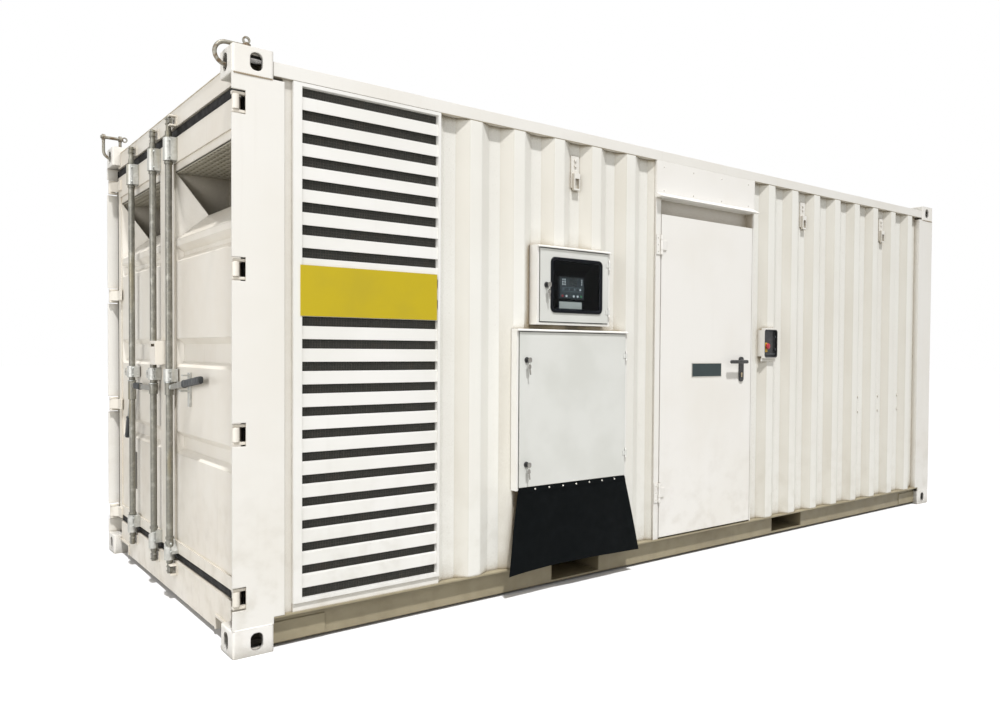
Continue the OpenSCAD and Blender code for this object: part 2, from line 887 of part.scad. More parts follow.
// Leaf edges, drawn for the near leaf
leaf_s = [leaf_edge_in, half_w - leaf_gap / 2];
panel_s = [leaf_s[0] + stile_w, half_w - meeting_stile_w];
panel_z = [leaf_z0 + rail_h, 2281];

module leaf_frame() {
    depth = [leaf_face, leaf_face + leaf_t];
    difference() {
        near_block(depth, leaf_s, [leaf_z0, leaf_z1]);
        near_block([depth[0] - eps, depth[1] + eps], panel_s, panel_z);
    }
    for (z = hinge_z) hinge_blade(z);
}

// Pressed trough with mitred ends, cut into the panel's face
module panel_trough(s, z) {
    depth = 30;
    slope = 30;
    near_s = [s[0] - half_w, s[1] - half_w];
    intersection() {
        translate([0, near_s[1], 0]) rotate([90, 0, 0]) linear_extrude(near_s[1] - near_s[0])
            polygon([
                [panel_face - eps - half_l, z[0] - eps], [panel_face + depth - half_l, z[0] + slope],
                [panel_face + depth - half_l, z[1] - slope], [panel_face - eps - half_l, z[1] + eps]]);
        translate([0, 0, z[0] - 2]) linear_extrude(z[1] - z[0] + 4) polygon([
            [panel_face - eps - half_l, near_s[0]], [panel_face + depth - half_l, near_s[0] + slope],
            [panel_face + depth - half_l, near_s[1] - slope], [panel_face - eps - half_l, near_s[1]]]);
    }
}

module leaf_panel() {
    x = [panel_face, leaf_face + leaf_t];
    difference() {
        union() {
            near_block(x, panel_s, [panel_z[0], hopper_z[0]]);
            near_block(x, panel_s, [hopper_z[1], panel_z[1]]);
        }
        for (z = [[763, 883], [1221, 1370], [1770, 1850]])
            panel_trough([panel_s[0] + 15, panel_s[1] - 15], z);
    }
}

// Triangular cheek of an air inlet: an upright sheet that slants from the mouth's upright
// edge in to the sill's crest
module hopper_cheek(s, inwards) {
    y = s - half_w;
    reach = inwards * 110;
    x = [panel_face - half_l, panel_face + hopper_lip - half_l];
    intersection() {
        translate([0, 0, hopper_z[0]]) linear_extrude(hopper_z[1] - hopper_z[0]) polygon([
            [x[0], y], [x[1], y + reach], [x[1], y + reach + inwards * sheet_t],
            [x[0], y + inwards * sheet_t]]);
        translate([0, y + 150, 0]) rotate([90, 0, 0]) linear_extrude(300) polygon([
            [x[0] - eps, hopper_z[0]], [x[1] + eps, hopper_z[0] + hopper_lip],
            [x[0] - eps, hopper_z[1]]]);
    }
}

// Air inlet: a sheet-metal hopper behind the leaf with a sill that slopes up and inwards
module inlet_hopper() {
    s = [panel_s[0], panel_s[1]];
    x0 = panel_face;
    x1 = leaf_face + hopper_depth;
    z = hopper_z;
    translate([0, s[1] - half_w, 0]) rotate([90, 0, 0]) linear_extrude(s[1] - s[0])
        difference() {
            polygon([[x0 - half_l, z[0]], [x1 - half_l, z[0]],
                     [x1 - half_l, z[1]], [x0 - half_l, z[1]]]);
            polygon([
                [x0 - eps - half_l, z[0] + sheet_t], [x0 + hopper_lip - half_l, z[0] + hopper_lip],
                [x0 + hopper_lip + sheet_t - half_l, z[0] + sheet_t],
                [x1 - sheet_t - half_l, z[0] + sheet_t], [x1 - sheet_t - half_l, z[1] - sheet_t],
                [x0 - eps - half_l, z[1] - sheet_t]]);
        }
    for (side = [s[0], s[1] - sheet_t])
        near_block([x0, x1], [side, side + sheet_t], z);
    hopper_cheek(s[0], 1);
    hopper_cheek(s[1], -1);
}

// Rubber seal round a leaf
module leaf_gasket(reach) {
    x = [leaf_face + 16, leaf_face + leaf_t + 4];
    z = [leaf_z0 - 33, header_z - 7];
    difference() {
        near_block(x, [leaf_s[0] - gasket_t, leaf_s[1] + reach], z);
        near_block([x[0] - eps, x[1] + eps], leaf_s, [leaf_z0, leaf_z1]);
    }
}

module near_leaf_frame() { color("#efeee8") leaf_frame(); }
module near_leaf_panel() { color("#f0efe9") leaf_panel(); }
module near_inlet_hopper() { color("#e6e4dc") inlet_hopper(); }
module near_leaf_gasket() { color("#2b2723") leaf_gasket(0); }
module far_leaf_frame() { color("#efeee8") mirror([0, 1, 0]) leaf_frame(); }
module far_leaf_panel() { color("#f0efe9") mirror([0, 1, 0]) leaf_panel(); }
module far_inlet_hopper() { color("#e6e4dc") mirror([0, 1, 0]) inlet_hopper(); }
module far_leaf_plate() {
    color("#4a4740")
        block([panel_face - 4 - half_l, 720, 458], [panel_face - half_l, 849, 682]);
}

module far_leaf_gasket() { color("#2b2723") mirror([0, 1, 0]) leaf_gasket(11); }

// ---- lock bars -----------------------------------------------------------------------

bracket_r = 27;
bar_clear = 0.08;
bar_z = [140, 2512];
bar_neck_z = [195, 2440];
bar_neck_d = 26;
cam_z = [152, 2476];
cam_h = 24;
cam_reach = 38;
hub_r = 22;
weld_gap = 0.2;
near_hub_z = 1112;
far_hub_z = 1095;

// Bearing sleeve bolted to the leaf round a lock bar; rise tips its top towards +Y or -Y
module bar_bracket(y, z, rise = 0) {
    difference() {
        union() {
            translate([bar_depth - half_l, y, z[0]]) cylinder(r = bracket_r, h = z[1] - z[0]);
            block([bar_depth - half_l, y - 42, max(z[0], leaf_z0)],
                  [leaf_face - half_l, y + 42, z[1]]);
        }
        translate([bar_depth - half_l, y, z[0] - eps])
            cylinder(d = bar_d + 2 * bar_clear, h = z[1] - z[0] + 2 * eps);
        if (rise != 0) translate([bar_depth - half_l, y + rise * 43, z[1]])
            rotate([rise * 32, 0, 0]) translate([-60, -150, 0]) cube([120, 300, 80]);
    }
}

module bar_brackets(y, rise) {
    bar_bracket(y, [212, 315], rise);
    bar_bracket(y, [1143, 1209]);
    bar_bracket(y, [2287, 2405]);
}

// Catch beside a lock bar's handle: a spacer on the panel and a plate with an eye
module eye_catch(y, z) {
    arm = 105;
    x0 = 34 - half_l;
    translate([x0, y, z]) {
        rotate([90, 0, 90]) linear_extrude(6) difference() {
            union() {
                circle(14);
                translate([arm, 32]) circle(24);
                polygon([[-4, -13], [arm - 2, 12], [arm - 14, 44], [-6, 12]]);
            }
            translate([arm, 32]) circle(12);
        }
        rotate([0, 90, 0]) cylinder(r = 14, h = panel_face - 34);
    }
}

// Catch under the near bar's handle: a back plate with a shelf below and a tab above
module shelf_catch() {
    y = [-418, -388];
    block([50 - half_l, y[0], 1025], [panel_face - half_l, y[1], 1195]);
    block([8 - half_l, y[0], 1100], [50 - half_l, y[1], 1108]);
    block([20 - half_l, y[0], 1178], [50 - half_l, y[1], 1186]);
}

module near_lock_fittings() {
    color("#9a9f99") {
        bar_brackets(-bar_y, 1);
        shelf_catch();
    }
}

module far_lock_fittings() {
    color("#9a9f99") {
        bar_brackets(bar_y, -1);
        bar_brackets(outer_bar_y, 0);
        eye_catch(245, 1138);
        eye_catch(775, 1138);
    }
}

// Round bar with narrower necks and a hub collar for its handle. The cams point to one side;
// they and the handle stand weld_gap off the bar, where the weld beads go
module lock_bar(side, hub) {
    cylinder_from_to(bar_d, bar_neck_z);
    cylinder_from_to(bar_neck_d, bar_z);
    cylinder_from_to(2 * hub_r, hub);
    for (z = cam_z) difference() {
        translate([-9, side > 0 ? 0 : -cam_reach, z]) cube([18, cam_reach, cam_h]);
        cylinder_from_to(bar_neck_d + 2 * weld_gap, [z - eps, z + cam_h + eps]);
    }
}

module cylinder_from_to(d, z) {
    translate([0, 0, z[0]]) cylinder(d = d, h = z[1] - z[0]);
}

// Handle of a lock bar, drawn along +X and turned about +Z, then tipped: a flat bar that
// starts at the hub collar, and a rubber grip
module bar_handle(z, turn, tip, reach, grip) {
    difference() {
        translate([0, 0, z]) rotate([0, 0, turn]) rotate([0, tip, 0]) {
            translate([0, -6, -14]) cube([reach - grip + eps, 12, 28]);
            translate([reach - grip, 0, 0]) rotate([90, 0, 90])
                linear_extrude(grip) rounded_rect([24, 34], 9);
        }
        cylinder_from_to(2 * (hub_r + weld_gap), [z - 150, z + 150]);
    }
}

module lock_bar_near() {
    color("#959a94") translate([bar_depth - half_l, -bar_y, 0]) {
        lock_bar(-1, [near_hub_z - 38, near_hub_z + 30]);
        bar_handle(near_hub_z, -90, -6, 545, 270);
    }
}

module lock_bar_middle() {
    color("#959a94") translate([bar_depth - half_l, bar_y, 0]) {
        lock_bar(1, [far_hub_z - 30, far_hub_z + 30]);
        bar_handle(far_hub_z, 90, 0, 420, 120);
    }
}

// The outer bar's handle hangs down beside it
module lock_bar_outer() {
    color("#959a94") translate([bar_depth - half_l, outer_bar_y, 0]) {
        lock_bar(1, [far_hub_z - 85, far_hub_z + 30]);
        bar_handle(far_hub_z, 90, 68, 345, 130);
    }
}

// Keeper of one cam: a plate on the header or sill, and a shelf above and below the cam
module keeper(y, side, z, face) {
    translate([face - half_l, y, z]) mirror([0, side < 0 ? 1 : 0, 0]) {
        translate([-4, -30, -16]) cube([4, 88, 56]);
        for (dz = [-16, cam_h + 8]) translate([-34, 20, dz]) cube([31, 34, 8]);
    }
}

module lock_keepers() {
    color("#f1f0eb") for (bar = [[-bar_y, -1], [bar_y, 1], [outer_bar_y, 1]]) {
        keeper(bar[0], bar[1], cam_z[0], sill_in);
        keeper(bar[0], bar[1], cam_z[1], header_in);
    }
}

// Box round the padlock, between the middle bar and the gap
module lock_box() {
    color("#f1f0eb") difference() {
        block([-5 - half_l, leaf_gap / 2 + 2, 1228], [leaf_face - half_l, 120, 1356]);
        block([-half_l, leaf_gap / 2 + 7, 1220], [leaf_face - 5 - half_l, 115, 1351]);
        block([-6 - half_l, 26, 1326], [eps - half_l, 106, 1340]);
    }
}

bottom_castings();
top_castings();
lifting_shackles();
shackle_pins();
corner_posts();
top_side_rails();
bottom_side_rails();
end_headers();
door_sill();
plain_end_sill();
floor_crossmembers();
fork_pockets();
floor_deck();
roof_panel();
near_wall();
far_wall();
plain_end_wall();
louvre_surrounds();
louvre_frames();
louvre_blades();
louvre_screens();
name_band_plate();
wall_brackets();
door_head_panel();
personnel_door_frame();
personnel_door_leaf();
personnel_door_plate();
handle_plate();
personnel_door_handle();
control_box_body();
control_panel();
control_box_door();
control_box_window();
power_box_body();
power_box_door();
cabinet_hinges();
rubber_skirt();
stop_box();
stop_button();
cargo_hinge_lugs();
lock_keepers();
near_leaf_frame();
near_leaf_panel();
near_inlet_hopper();
near_leaf_gasket();
far_leaf_frame();
far_leaf_panel();
far_inlet_hopper();
far_leaf_gasket();
far_leaf_plate();
near_lock_fittings();
far_lock_fittings();
lock_box();
lock_bar_near();
lock_bar_middle();
lock_bar_outer();
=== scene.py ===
"""Looks of a containerised generator set: paint, zinc, rubber, seals, fixings and
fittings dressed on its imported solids. Sizes are millimetres; meshes are in metres."""

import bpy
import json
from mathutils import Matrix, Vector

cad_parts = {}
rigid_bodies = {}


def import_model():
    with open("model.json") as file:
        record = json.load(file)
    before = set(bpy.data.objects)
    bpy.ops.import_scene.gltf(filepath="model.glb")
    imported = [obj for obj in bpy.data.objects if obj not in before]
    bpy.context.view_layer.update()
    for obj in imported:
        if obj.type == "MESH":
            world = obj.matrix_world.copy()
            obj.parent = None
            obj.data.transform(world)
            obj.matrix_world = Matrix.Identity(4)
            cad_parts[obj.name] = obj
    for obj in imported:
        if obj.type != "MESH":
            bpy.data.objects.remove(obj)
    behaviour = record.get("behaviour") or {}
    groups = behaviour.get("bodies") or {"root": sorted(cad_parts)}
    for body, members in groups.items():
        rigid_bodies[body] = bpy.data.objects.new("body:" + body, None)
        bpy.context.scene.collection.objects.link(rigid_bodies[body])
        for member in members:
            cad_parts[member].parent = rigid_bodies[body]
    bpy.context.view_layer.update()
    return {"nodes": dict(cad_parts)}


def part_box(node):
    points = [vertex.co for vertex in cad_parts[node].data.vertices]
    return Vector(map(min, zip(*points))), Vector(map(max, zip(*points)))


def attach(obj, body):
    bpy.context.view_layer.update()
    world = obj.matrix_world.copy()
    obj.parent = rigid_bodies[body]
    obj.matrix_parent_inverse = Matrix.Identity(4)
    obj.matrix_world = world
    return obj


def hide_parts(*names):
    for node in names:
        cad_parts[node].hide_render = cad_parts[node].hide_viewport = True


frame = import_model()

import json
import logging
import math
from dataclasses import dataclass
from enum import Enum
from functools import lru_cache

import bpy
import numpy as np

LOG = logging.getLogger("generator_set")
MM = 0.001
Pair = tuple[float, float]
Point = tuple[float, float, float]
Colour = tuple[float, float, float, float]


# ---- numbers, frames and forms --------------------------------------------------------


def linear(code: str) -> Colour:
    """Linear colour of an sRGB hex code, by the sRGB transfer curve.

    Args:
        code: the colour as #rrggbb.

    Returns:
        Red, green, blue and an alpha of 1.
    """
    srgb = np.array([int(code[i:i + 2], 16) for i in (1, 3, 5)]) / 255
    line = np.where(srgb <= 0.04045, srgb / 12.92, ((srgb + 0.055) / 1.055) ** 2.4)
    return (*line.tolist(), 1.0)


def box_mm(node: str) -> np.ndarray:
    """Lowest and highest corner of a CAD node, in millimetres, as a (2, 3) array."""
    return np.array([list(corner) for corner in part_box(node)]) / MM


CASTINGS = box_mm("bottom_castings")
END_X = float(CASTINGS[0, 0])
NEAR_Y = float(CASTINGS[0, 1])


def near(x: float, s: float, z: float) -> np.ndarray:
    """Point on the near side: distance from the door end, depth inwards, and height."""
    return np.array([x + END_X, s + NEAR_Y, z])


def door(e: float, y: float, z: float) -> np.ndarray:
    """Point at the door end: depth in from the castings' ends, place across, height."""
    return np.array([e + END_X, y, z])


class Facing(Enum):
    """Which way a local form looks: rows are its right, up and out directions."""

    NEAR = ((1, 0, 0), (0, 0, 1), (0, -1, 0))
    DOOR_END = ((0, -1, 0), (0, 0, 1), (-1, 0, 0))
    UP = ((1, 0, 0), (0, 1, 0), (0, 0, 1))
    ALONG = ((0, 1, 0), (0, 0, 1), (1, 0, 0))


@dataclass(frozen=True)
class Form:
    """A shape: points in millimetres and its faces as arrays of corner numbers."""

    points: np.ndarray
    faces: tuple[np.ndarray, ...]

    def volume(self) -> float:
        """Signed volume: the sum of the tetrahedra from the origin to each face's fan."""
        total = 0.0
        for group in self.faces:
            p = self.points[group]
            fans = np.cross(p[:, 1:-1], p[:, 2:])
            total += float(np.einsum("ik,ijk->", p[:, 0], fans)) / 6
        return total

    def outward(self) -> "Form":
        """The form with its faces turned outwards."""
        if self.volume() >= 0:
            return self
        return Form(self.points, tuple(group[:, ::-1] for group in self.faces))

    def at(self, origin: np.ndarray, facing: Facing = Facing.UP) -> "Form":
        """The form turned to a facing and moved so that its local origin is there."""
        return Form(self.points @ np.array(facing.value, float) + origin, self.faces)

    def on_near(self, x: float, s: float, z: float) -> "Form":
        """The form looking out of the near side, its local origin at near(x, s, z)."""
        return self.at(near(x, s, z), Facing.NEAR)

    def turned(self, axis: int, degrees: float) -> "Form":
        """The form turned about one of its local axes, by the right-hand rule."""
        c, s = math.cos(math.radians(degrees)), math.sin(math.radians(degrees))
        a, b = (axis + 1) % 3, (axis + 2) % 3
        points = self.points.copy()
        points[:, a] = c * self.points[:, a] - s * self.points[:, b]
        points[:, b] = s * self.points[:, a] + c * self.points[:, b]
        return Form(points, self.faces)

    def mirrored(self, axis: int) -> "Form":
        """The form's mirror image across the origin's plane, faces still outwards."""
        sign = np.ones(3)
        sign[axis] = -1
        return Form(self.points * sign, tuple(group[:, ::-1] for group in self.faces))

    def welded(self) -> "Form":
        """The form with points that lie within a hundredth of a millimetre made one."""
        _, first, index = np.unique(self.points.round(2), axis=0, return_index=True,
                                    return_inverse=True)
        index = index.ravel()
        return Form(self.points[first], tuple(index[group] for group in self.faces))

    def repeated(self, places: np.ndarray) -> "Form":
        """Copies of the form moved to each of the places, as one form."""
        places = np.asarray(places, float).reshape(-1, 3)
        points = (self.points[None] + places[:, None]).reshape(-1, 3)
        steps = np.arange(len(places))[:, None, None] * len(self.points)
        faces = tuple((group[None] + steps).reshape(-1, group.shape[1])
                      for group in self.faces)
        return Form(points, faces)


def joined(*forms: Form) -> Form:
    """Several forms as one."""
    starts = np.cumsum([0] + [len(form.points) for form in forms])
    faces = [group + start for form, start in zip(forms, starts) for group in form.faces]
    return Form(np.concatenate([form.points for form in forms]), tuple(faces))


def both_sides(form: Form) -> Form:
    """The form and its mirror image on the far side."""
    return joined(form, form.mirrored(1))


def both_ends(form: Form) -> Form:
    """The form and its mirror image at the other end."""
    return joined(form, form.mirrored(0))


def loft(rings: np.ndarray, closed: bool = False) -> Form:
    """Skin through rings of points: each point joins the same point of the next ring.

    Args:
        rings: array (rings, points, 3).
        closed: the last ring joins the first, and there are no end faces.

    Returns:
        A closed form with its faces outwards.
    """
    m, k, _ = rings.shape
    index = np.arange(m * k).reshape(m, k)
    start, end = (index, np.roll(index, -1, 0)) if closed else (index[:-1], index[1:])
    quads = np.stack([start, np.roll(start, -1, 1), np.roll(end, -1, 1), end], -1)
    faces = (quads.reshape(-1, 4),)
    if not closed:
        faces += (index[:1, ::-1], index[-1:])
    return Form(rings.reshape(-1, 3), faces).outward()


def between(front: np.ndarray, back: np.ndarray) -> Form:
    """Sheet between two grids of points: both faces and a strip of quads round the edge.

    Args:
        front: array (rows, columns, 3).
        back: the same grid moved by the sheet's thickness.

    Returns:
        The closed form.
    """
    m, n, _ = front.shape
    i = np.arange(m * n).reshape(m, n)
    face = np.stack([i[:-1, :-1], i[:-1, 1:], i[1:, 1:], i[1:, :-1]], -1).reshape(-1, 4)
    rim = np.concatenate([i[0], i[1:, -1], i[-1, -2::-1], i[-2:0:-1, 0]])
    strip = np.stack([np.roll(rim, -1), rim, rim + m * n, np.roll(rim, -1) + m * n], -1)
    points = np.concatenate([front.reshape(-1, 3), back.reshape(-1, 3)])
    return Form(points, (face, face[:, ::-1] + m * n, strip)).outward()


def arc(radius: float, angle: np.ndarray) -> np.ndarray:
    """Points of a circle: radius times the cosine and sine of each angle, in radians."""
    return radius * np.stack([np.cos(angle), np.sin(angle)], -1)


def ring(radius: float, count: int = 20) -> np.ndarray:
    """Points of a whole circle at equal steps of angle."""
    return arc(radius, np.arange(count) * 2 * np.pi / count)


def rounded(width: float, height: float, radius: float, steps: int = 5) -> np.ndarray:
    """Outline of a rounded rectangle: quarter circles about its four inner corners.

    Args:
        width: full width.
        height: full height.
        radius: corner radius.
        steps: points in each corner.

    Returns:
        Array (4 * steps, 2), anticlockwise.
    """
    quarter = np.linspace(0, np.pi / 2, steps)
    angle = np.concatenate([quarter + i * np.pi / 2 for i in range(4)])
    middle = np.array([[1, 1], [-1, 1], [-1, -1], [1, -1]]).repeat(steps, 0)
    inner = np.array([width / 2 - radius, height / 2 - radius])
    return middle * inner + arc(radius, angle)


def inset(outline: np.ndarray, amount: float) -> np.ndarray:
    """An anticlockwise outline moved inwards: each corner shifts along the sum of its two
    edges' inward normals, scaled so that both edges move by the amount."""
    ahead = np.roll(outline, -1, 0) - outline
    ahead = ahead / np.maximum(np.linalg.norm(ahead, axis=1, keepdims=True), 1e-9)
    normal = np.stack([-ahead[:, 1], ahead[:, 0]], -1)
    both = normal + np.roll(normal, 1, 0)
    scale = np.maximum((both ** 2).sum(1, keepdims=True) / 2, 0.3)
    return outline + amount * both / scale


def raised(outline: np.ndarray, height: float) -> np.ndarray:
    """A flat outline's points at one height, (count, 3)."""
    return np.column_stack([outline, np.full(len(outline), height)])


def layered(outline: np.ndarray, steps: list[Pair], closed: bool = False) -> Form:
    """Stack of an outline's copies, each inset and raised by one step of a section.

    Args:
        outline: anticlockwise points (count, 2).
        steps: for each copy, how far it is inset and its height.
        closed: the section closes on itself, which makes a frame instead of a plate.

    Returns:
        The closed form.
    """
    return loft(np.array([raised(inset(outline, a), h) for a, h in steps]), closed)


def prism(outline: np.ndarray, depth: float, bevel: float = 0.6) -> Form:
    """Outline thickened outwards by depth, with chamfered edges."""
    return layered(outline, [(bevel, 0), (0, bevel), (0, depth - bevel), (bevel, depth)])


def plate(width: float, height: float, depth: float, bevel: float = 0.6,
          radius: float = 1.0) -> Form:
    """Rectangular plate with eased corners, centred, thickened outwards."""
    return prism(rounded(width, height, radius, 3), depth, bevel)


def turned(profile: list[Pair], count: int = 20) -> Form:
    """Form turned about its out axis: a circle for each (radius, height) of a profile."""
    return loft(np.array([raised(ring(max(r, 0.05), count), h) for r, h in profile]))


def carried(profile: np.ndarray, path: np.ndarray, up: Point,
            closed: bool = False) -> Form:
    """Profile carried along a path. At each point the profile's first axis is the path's
    direction crossed with up, and its second is square to both.

    Args:
        profile: outline (points, 2).
        path: points (count, 3) that the profile's origin follows.
        up: rough direction of the profile's second axis.
        closed: the path closes on itself.

    Returns:
        The closed form.
    """
    path = np.asarray(path, float)
    if closed:
        ahead = np.roll(path, -1, 0) - np.roll(path, 1, 0)
    else:
        ahead = np.gradient(path, axis=0)
    ahead /= np.linalg.norm(ahead, axis=1, keepdims=True)
    side = np.cross(ahead, up)
    side /= np.linalg.norm(side, axis=1, keepdims=True)
    top = np.cross(side, ahead)
    rings = (path[:, None] + profile[None, :, :1] * side[:, None]
             + profile[None, :, 1:] * top[:, None])
    return loft(rings, closed)


def bead(start: np.ndarray, end: np.ndarray, up: Point, radius: float = 4.0,
         pitch: float = 9.0) -> Form:
    """Weld bead: a half-sunk round carried along a line, its size rippling along it by a
    sine of the ripple pitch and a slower one."""
    length = float(np.linalg.norm(end - start))
    t = np.linspace(0, length, max(4, int(length / pitch * 3)))
    swell = 1 + 0.18 * np.sin(2 * np.pi * t / pitch) + 0.1 * np.sin(t / 37)
    ahead = (end - start) / length
    side = np.cross(ahead, up)
    outline = ring(radius, 8)
    path = start + ahead * t[:, None]
    rings = (path[:, None] + swell[:, None, None]
             * (outline[None, :, :1] * side + outline[None, :, 1:] * np.array(up, float)))
    return loft(rings)


def hexagon_bolt(across: float, height: float) -> Form:
    """Bolt head: a washer and a chamfered hexagon."""
    washer = turned([(across * 0.72, 0), (across * 0.78, 0.4), (across * 0.78, 1.6),
                     (across * 0.74, 2)], 16)
    head = prism(ring(across * 0.577, 6), height, 0.9)
    return joined(washer, head.at(np.array([0, 0, 1.5])))


def rivet(radius: float, height: float) -> Form:
    """Domed rivet head: an eighth of an ellipse turned about its middle."""
    angle = np.linspace(0, np.pi / 2, 5)
    profile = [(radius * math.cos(a), height * math.sin(a)) for a in angle]
    return turned([(radius * 0.9, -1.0)] + profile, 12)


# ---- shader nodes and finishes --------------------------------------------------------


Socket = bpy.types.NodeSocket


def add(tree: bpy.types.NodeTree, kind: str, inputs: dict | None = None,
        **settings: object) -> bpy.types.Node:
    """Adds one shader node, with its settings and links.

    Args:
        tree: the material's or the world's node tree.
        kind: the node's type, without the ShaderNode prefix.
        inputs: input socket to a value, or to the output socket it is linked from.
        settings: properties of the node.

    Returns:
        The node.
    """
    made = tree.nodes.new("ShaderNode" + kind)
    for key, value in settings.items():
        setattr(made, key, value)
    for key, value in (inputs or {}).items():
        if isinstance(value, Socket):
            tree.links.new(value, made.inputs[key])
        else:
            made.inputs[key].default_value = value
    return made


class Patterns:
    """Procedural patterns of one material, all in real sizes on Object coordinates."""

    def __init__(self, name: str) -> None:
        """Starts an empty node tree for a material of that name."""
        self.material = bpy.data.materials.new(name)
        self.material.use_nodes = True
        self.tree = self.material.node_tree
        self.tree.nodes.clear()
        self.place = add(self.tree, "TexCoord").outputs["Object"]

    def noise(self, size_mm: float, detail: float = 3.0,
              stretch: Point = (1, 1, 1)) -> Socket:
        """Soft noise in blobs about size_mm across, longer where stretch is over 1."""
        scale = tuple(1 / (size_mm * MM * s) for s in stretch)
        place = add(self.tree, "Mapping", {"Vector": self.place, "Scale": scale})
        return add(self.tree, "TexNoise", {"Vector": place.outputs[0], "Scale": 1.0,
                                           "Detail": detail}).outputs["Fac"]

    def span(self, value: Socket, low: float, high: float, start: float = 0.0,
             end: float = 1.0) -> Socket:
        """Value taken from low..high to start..end, smoothly and clamped."""
        return add(self.tree, "MapRange", {0: value, 1: low, 2: high, 3: start, 4: end},
                   interpolation_type="SMOOTHSTEP").outputs[0]

    def maths(self, kind: str, a: object, b: object) -> Socket:
        """One arithmetic step between two values."""
        return add(self.tree, "Math", {0: a, 1: b}, operation=kind).outputs[0]

    def times(self, a: object, b: object) -> Socket:
        """Product of two values."""
        return self.maths("MULTIPLY", a, b)

    def blend(self, share: object, a: object, b: object) -> Socket:
        """Colour a turned to colour b by share; either may be a hex code."""
        a, b = (linear(value) if isinstance(value, str) else value for value in (a, b))
        return add(self.tree, "Mix", {0: share, 6: a, 7: b}, data_type="RGBA").outputs[2]

    def axis(self, name: str) -> Socket:
        """One coordinate of the object's own frame, in metres."""
        return add(self.tree, "SeparateXYZ", {0: self.place}).outputs[name]

    def crevice(self, reach_mm: float) -> Socket:
        """0 on open faces to 1 deep in corners and joints, within reach."""
        shade = add(self.tree, "AmbientOcclusion", {"Distance": reach_mm * MM}, samples=4)
        return self.maths("SUBTRACT", 1.0, shade.outputs["AO"])

    def edges(self, radius_mm: float) -> tuple[Socket, Socket]:
        """Normal rounded over a folding radius, and 0 on flats to 1 on folded edges."""
        soft = add(self.tree, "Bevel", {"Radius": radius_mm * MM}, samples=4).outputs[0]
        flat = add(self.tree, "NewGeometry").outputs["Normal"]
        dot = add(self.tree, "VectorMath", {0: soft, 1: flat}, operation="DOT_PRODUCT")
        return soft, self.span(dot.outputs["Value"], 0.995, 0.9)

    def bumps(self, normal: object, layers: list[tuple[object, float]]) -> object:
        """Normal roughened by layers of (height pattern, depth in millimetres)."""
        for height, depth in layers:
            links = {"Height": height, "Distance": depth * MM, "Strength": 1.0}
            if normal is not None:
                links["Normal"] = normal
            normal = add(self.tree, "Bump", links).outputs[0]
        return normal

    def surface(self, **sockets: object) -> bpy.types.Material:
        """Ends the material in a Principled shader with these sockets.

        Args:
            sockets: Principled input names with _ for spaces, to values or outputs.

        Returns:
            The finished material.
        """
        inputs = {key.replace("_", " "): value for key, value in sockets.items()}
        shader = add(self.tree, "BsdfPrincipled", inputs)
        add(self.tree, "OutputMaterial", {"Surface": shader.outputs[0]})
        return self.material


@dataclass(frozen=True)
class Enamel:
    """Two-pack polyurethane enamel sprayed on folded sheet steel: a soft even gloss with
    faint orange peel, slight panel waves, dust low down and in joints, thin streaks, and
    where it is set, painted shade in recesses and on slopes turned from the light."""

    name: str = "sprayed_polyurethane_enamel"
    base: str = "#f0efea"
    shade: str = "#e9e6dd"
    grime_and_flank_shade: str = "#a3977c"
    worn: str = "#d9d3c4"
    fold_mm: float = 5.0
    grime_share: float = 0.5
    worn_share: float = 0.12
    wave_mm: float = 0.8
    rough: float = 0.38
    streak: float = 0.10
    # Colour, reach and span of the painted shade laid in recesses and under overhangs.
    painted_shade: str = "#9e917c"
    painted_shade_mm: float = 0.0
    painted_shade_span: tuple[float, float, float] = (0.2, 0.7, 0.5)
    # Share of painted shade on slopes that face the door end.
    film: float = 0.0

    def build(self) -> bpy.types.Material:
        """The material. Where the painted shade's reach is over 0, faces that lie deep
        among others within that reach darken to the painted shade colour between the
        first two shares
        of its span, by its third: painted shade in recesses and under overhangs. Faces
        that
        slant to the door end darken in patches towards the dirt colour by the share film:
        painted shade on slopes turned from the light."""
        p = Patterns(self.name)
        normal, edge = p.edges(self.fold_mm)
        colour = p.blend(p.span(p.noise(620), 0.35, 0.7), self.base, self.shade)
        streaks = p.span(p.noise(34, 2, (1, 1, 26)), 0.6, 0.82, 0, self.streak)
        colour = p.blend(streaks, colour, self.grime_and_flank_shade)
        # Painted shade: faces deep among others darken, by ambient occlusion.
        if self.painted_shade_mm:
            start, end, share = self.painted_shade_span
            deep = p.span(p.crevice(self.painted_shade_mm), start, end, 0, share)
            colour = p.blend(deep, colour, self.painted_shade)
        # Painted shade: slopes that face the door end darken in patches towards the dirt
        # colour.
        if self.film:
            flat = add(p.tree, "NewGeometry").outputs["Normal"]
            turn = add(p.tree, "SeparateXYZ", {0: flat}).outputs["X"]
            patchy = p.span(p.noise(240, 3, (1, 1, 4)), 0.3, 0.7, 0.7, 1)
            flank_shade = p.times(p.span(turn, -0.15, -0.4, 0, self.film), patchy)
            colour = p.blend(flank_shade, colour, self.grime_and_flank_shade)
        low = p.span(p.axis("Z"), 1.0, 0.0)
        dust = p.times(low, p.span(p.noise(90, 5), 0.42, 0.75, 0, 0.5))
        joints = p.times(p.crevice(28), p.span(p.noise(60, 4), 0.3, 0.7, 0.4, 1))
        dirt = p.times(p.maths("MAXIMUM", dust, joints), self.grime_share)
        colour = p.blend(dirt, colour, self.grime_and_flank_shade)
        chips = p.times(edge, p.span(p.noise(14, 5), 0.4, 0.7, 0, self.worn_share))
        colour = p.blend(chips, colour, self.worn)
        peel = [(p.noise(420, 1), self.wave_mm), (p.noise(3.5, 1), 0.012)]
        rough = p.span(p.noise(70), 0.3, 0.7, self.rough - 0.06, self.rough + 0.08)
        return p.surface(Base_Color=colour, Normal=p.bumps(normal, peel), IOR=1.5,
                         Roughness=rough)


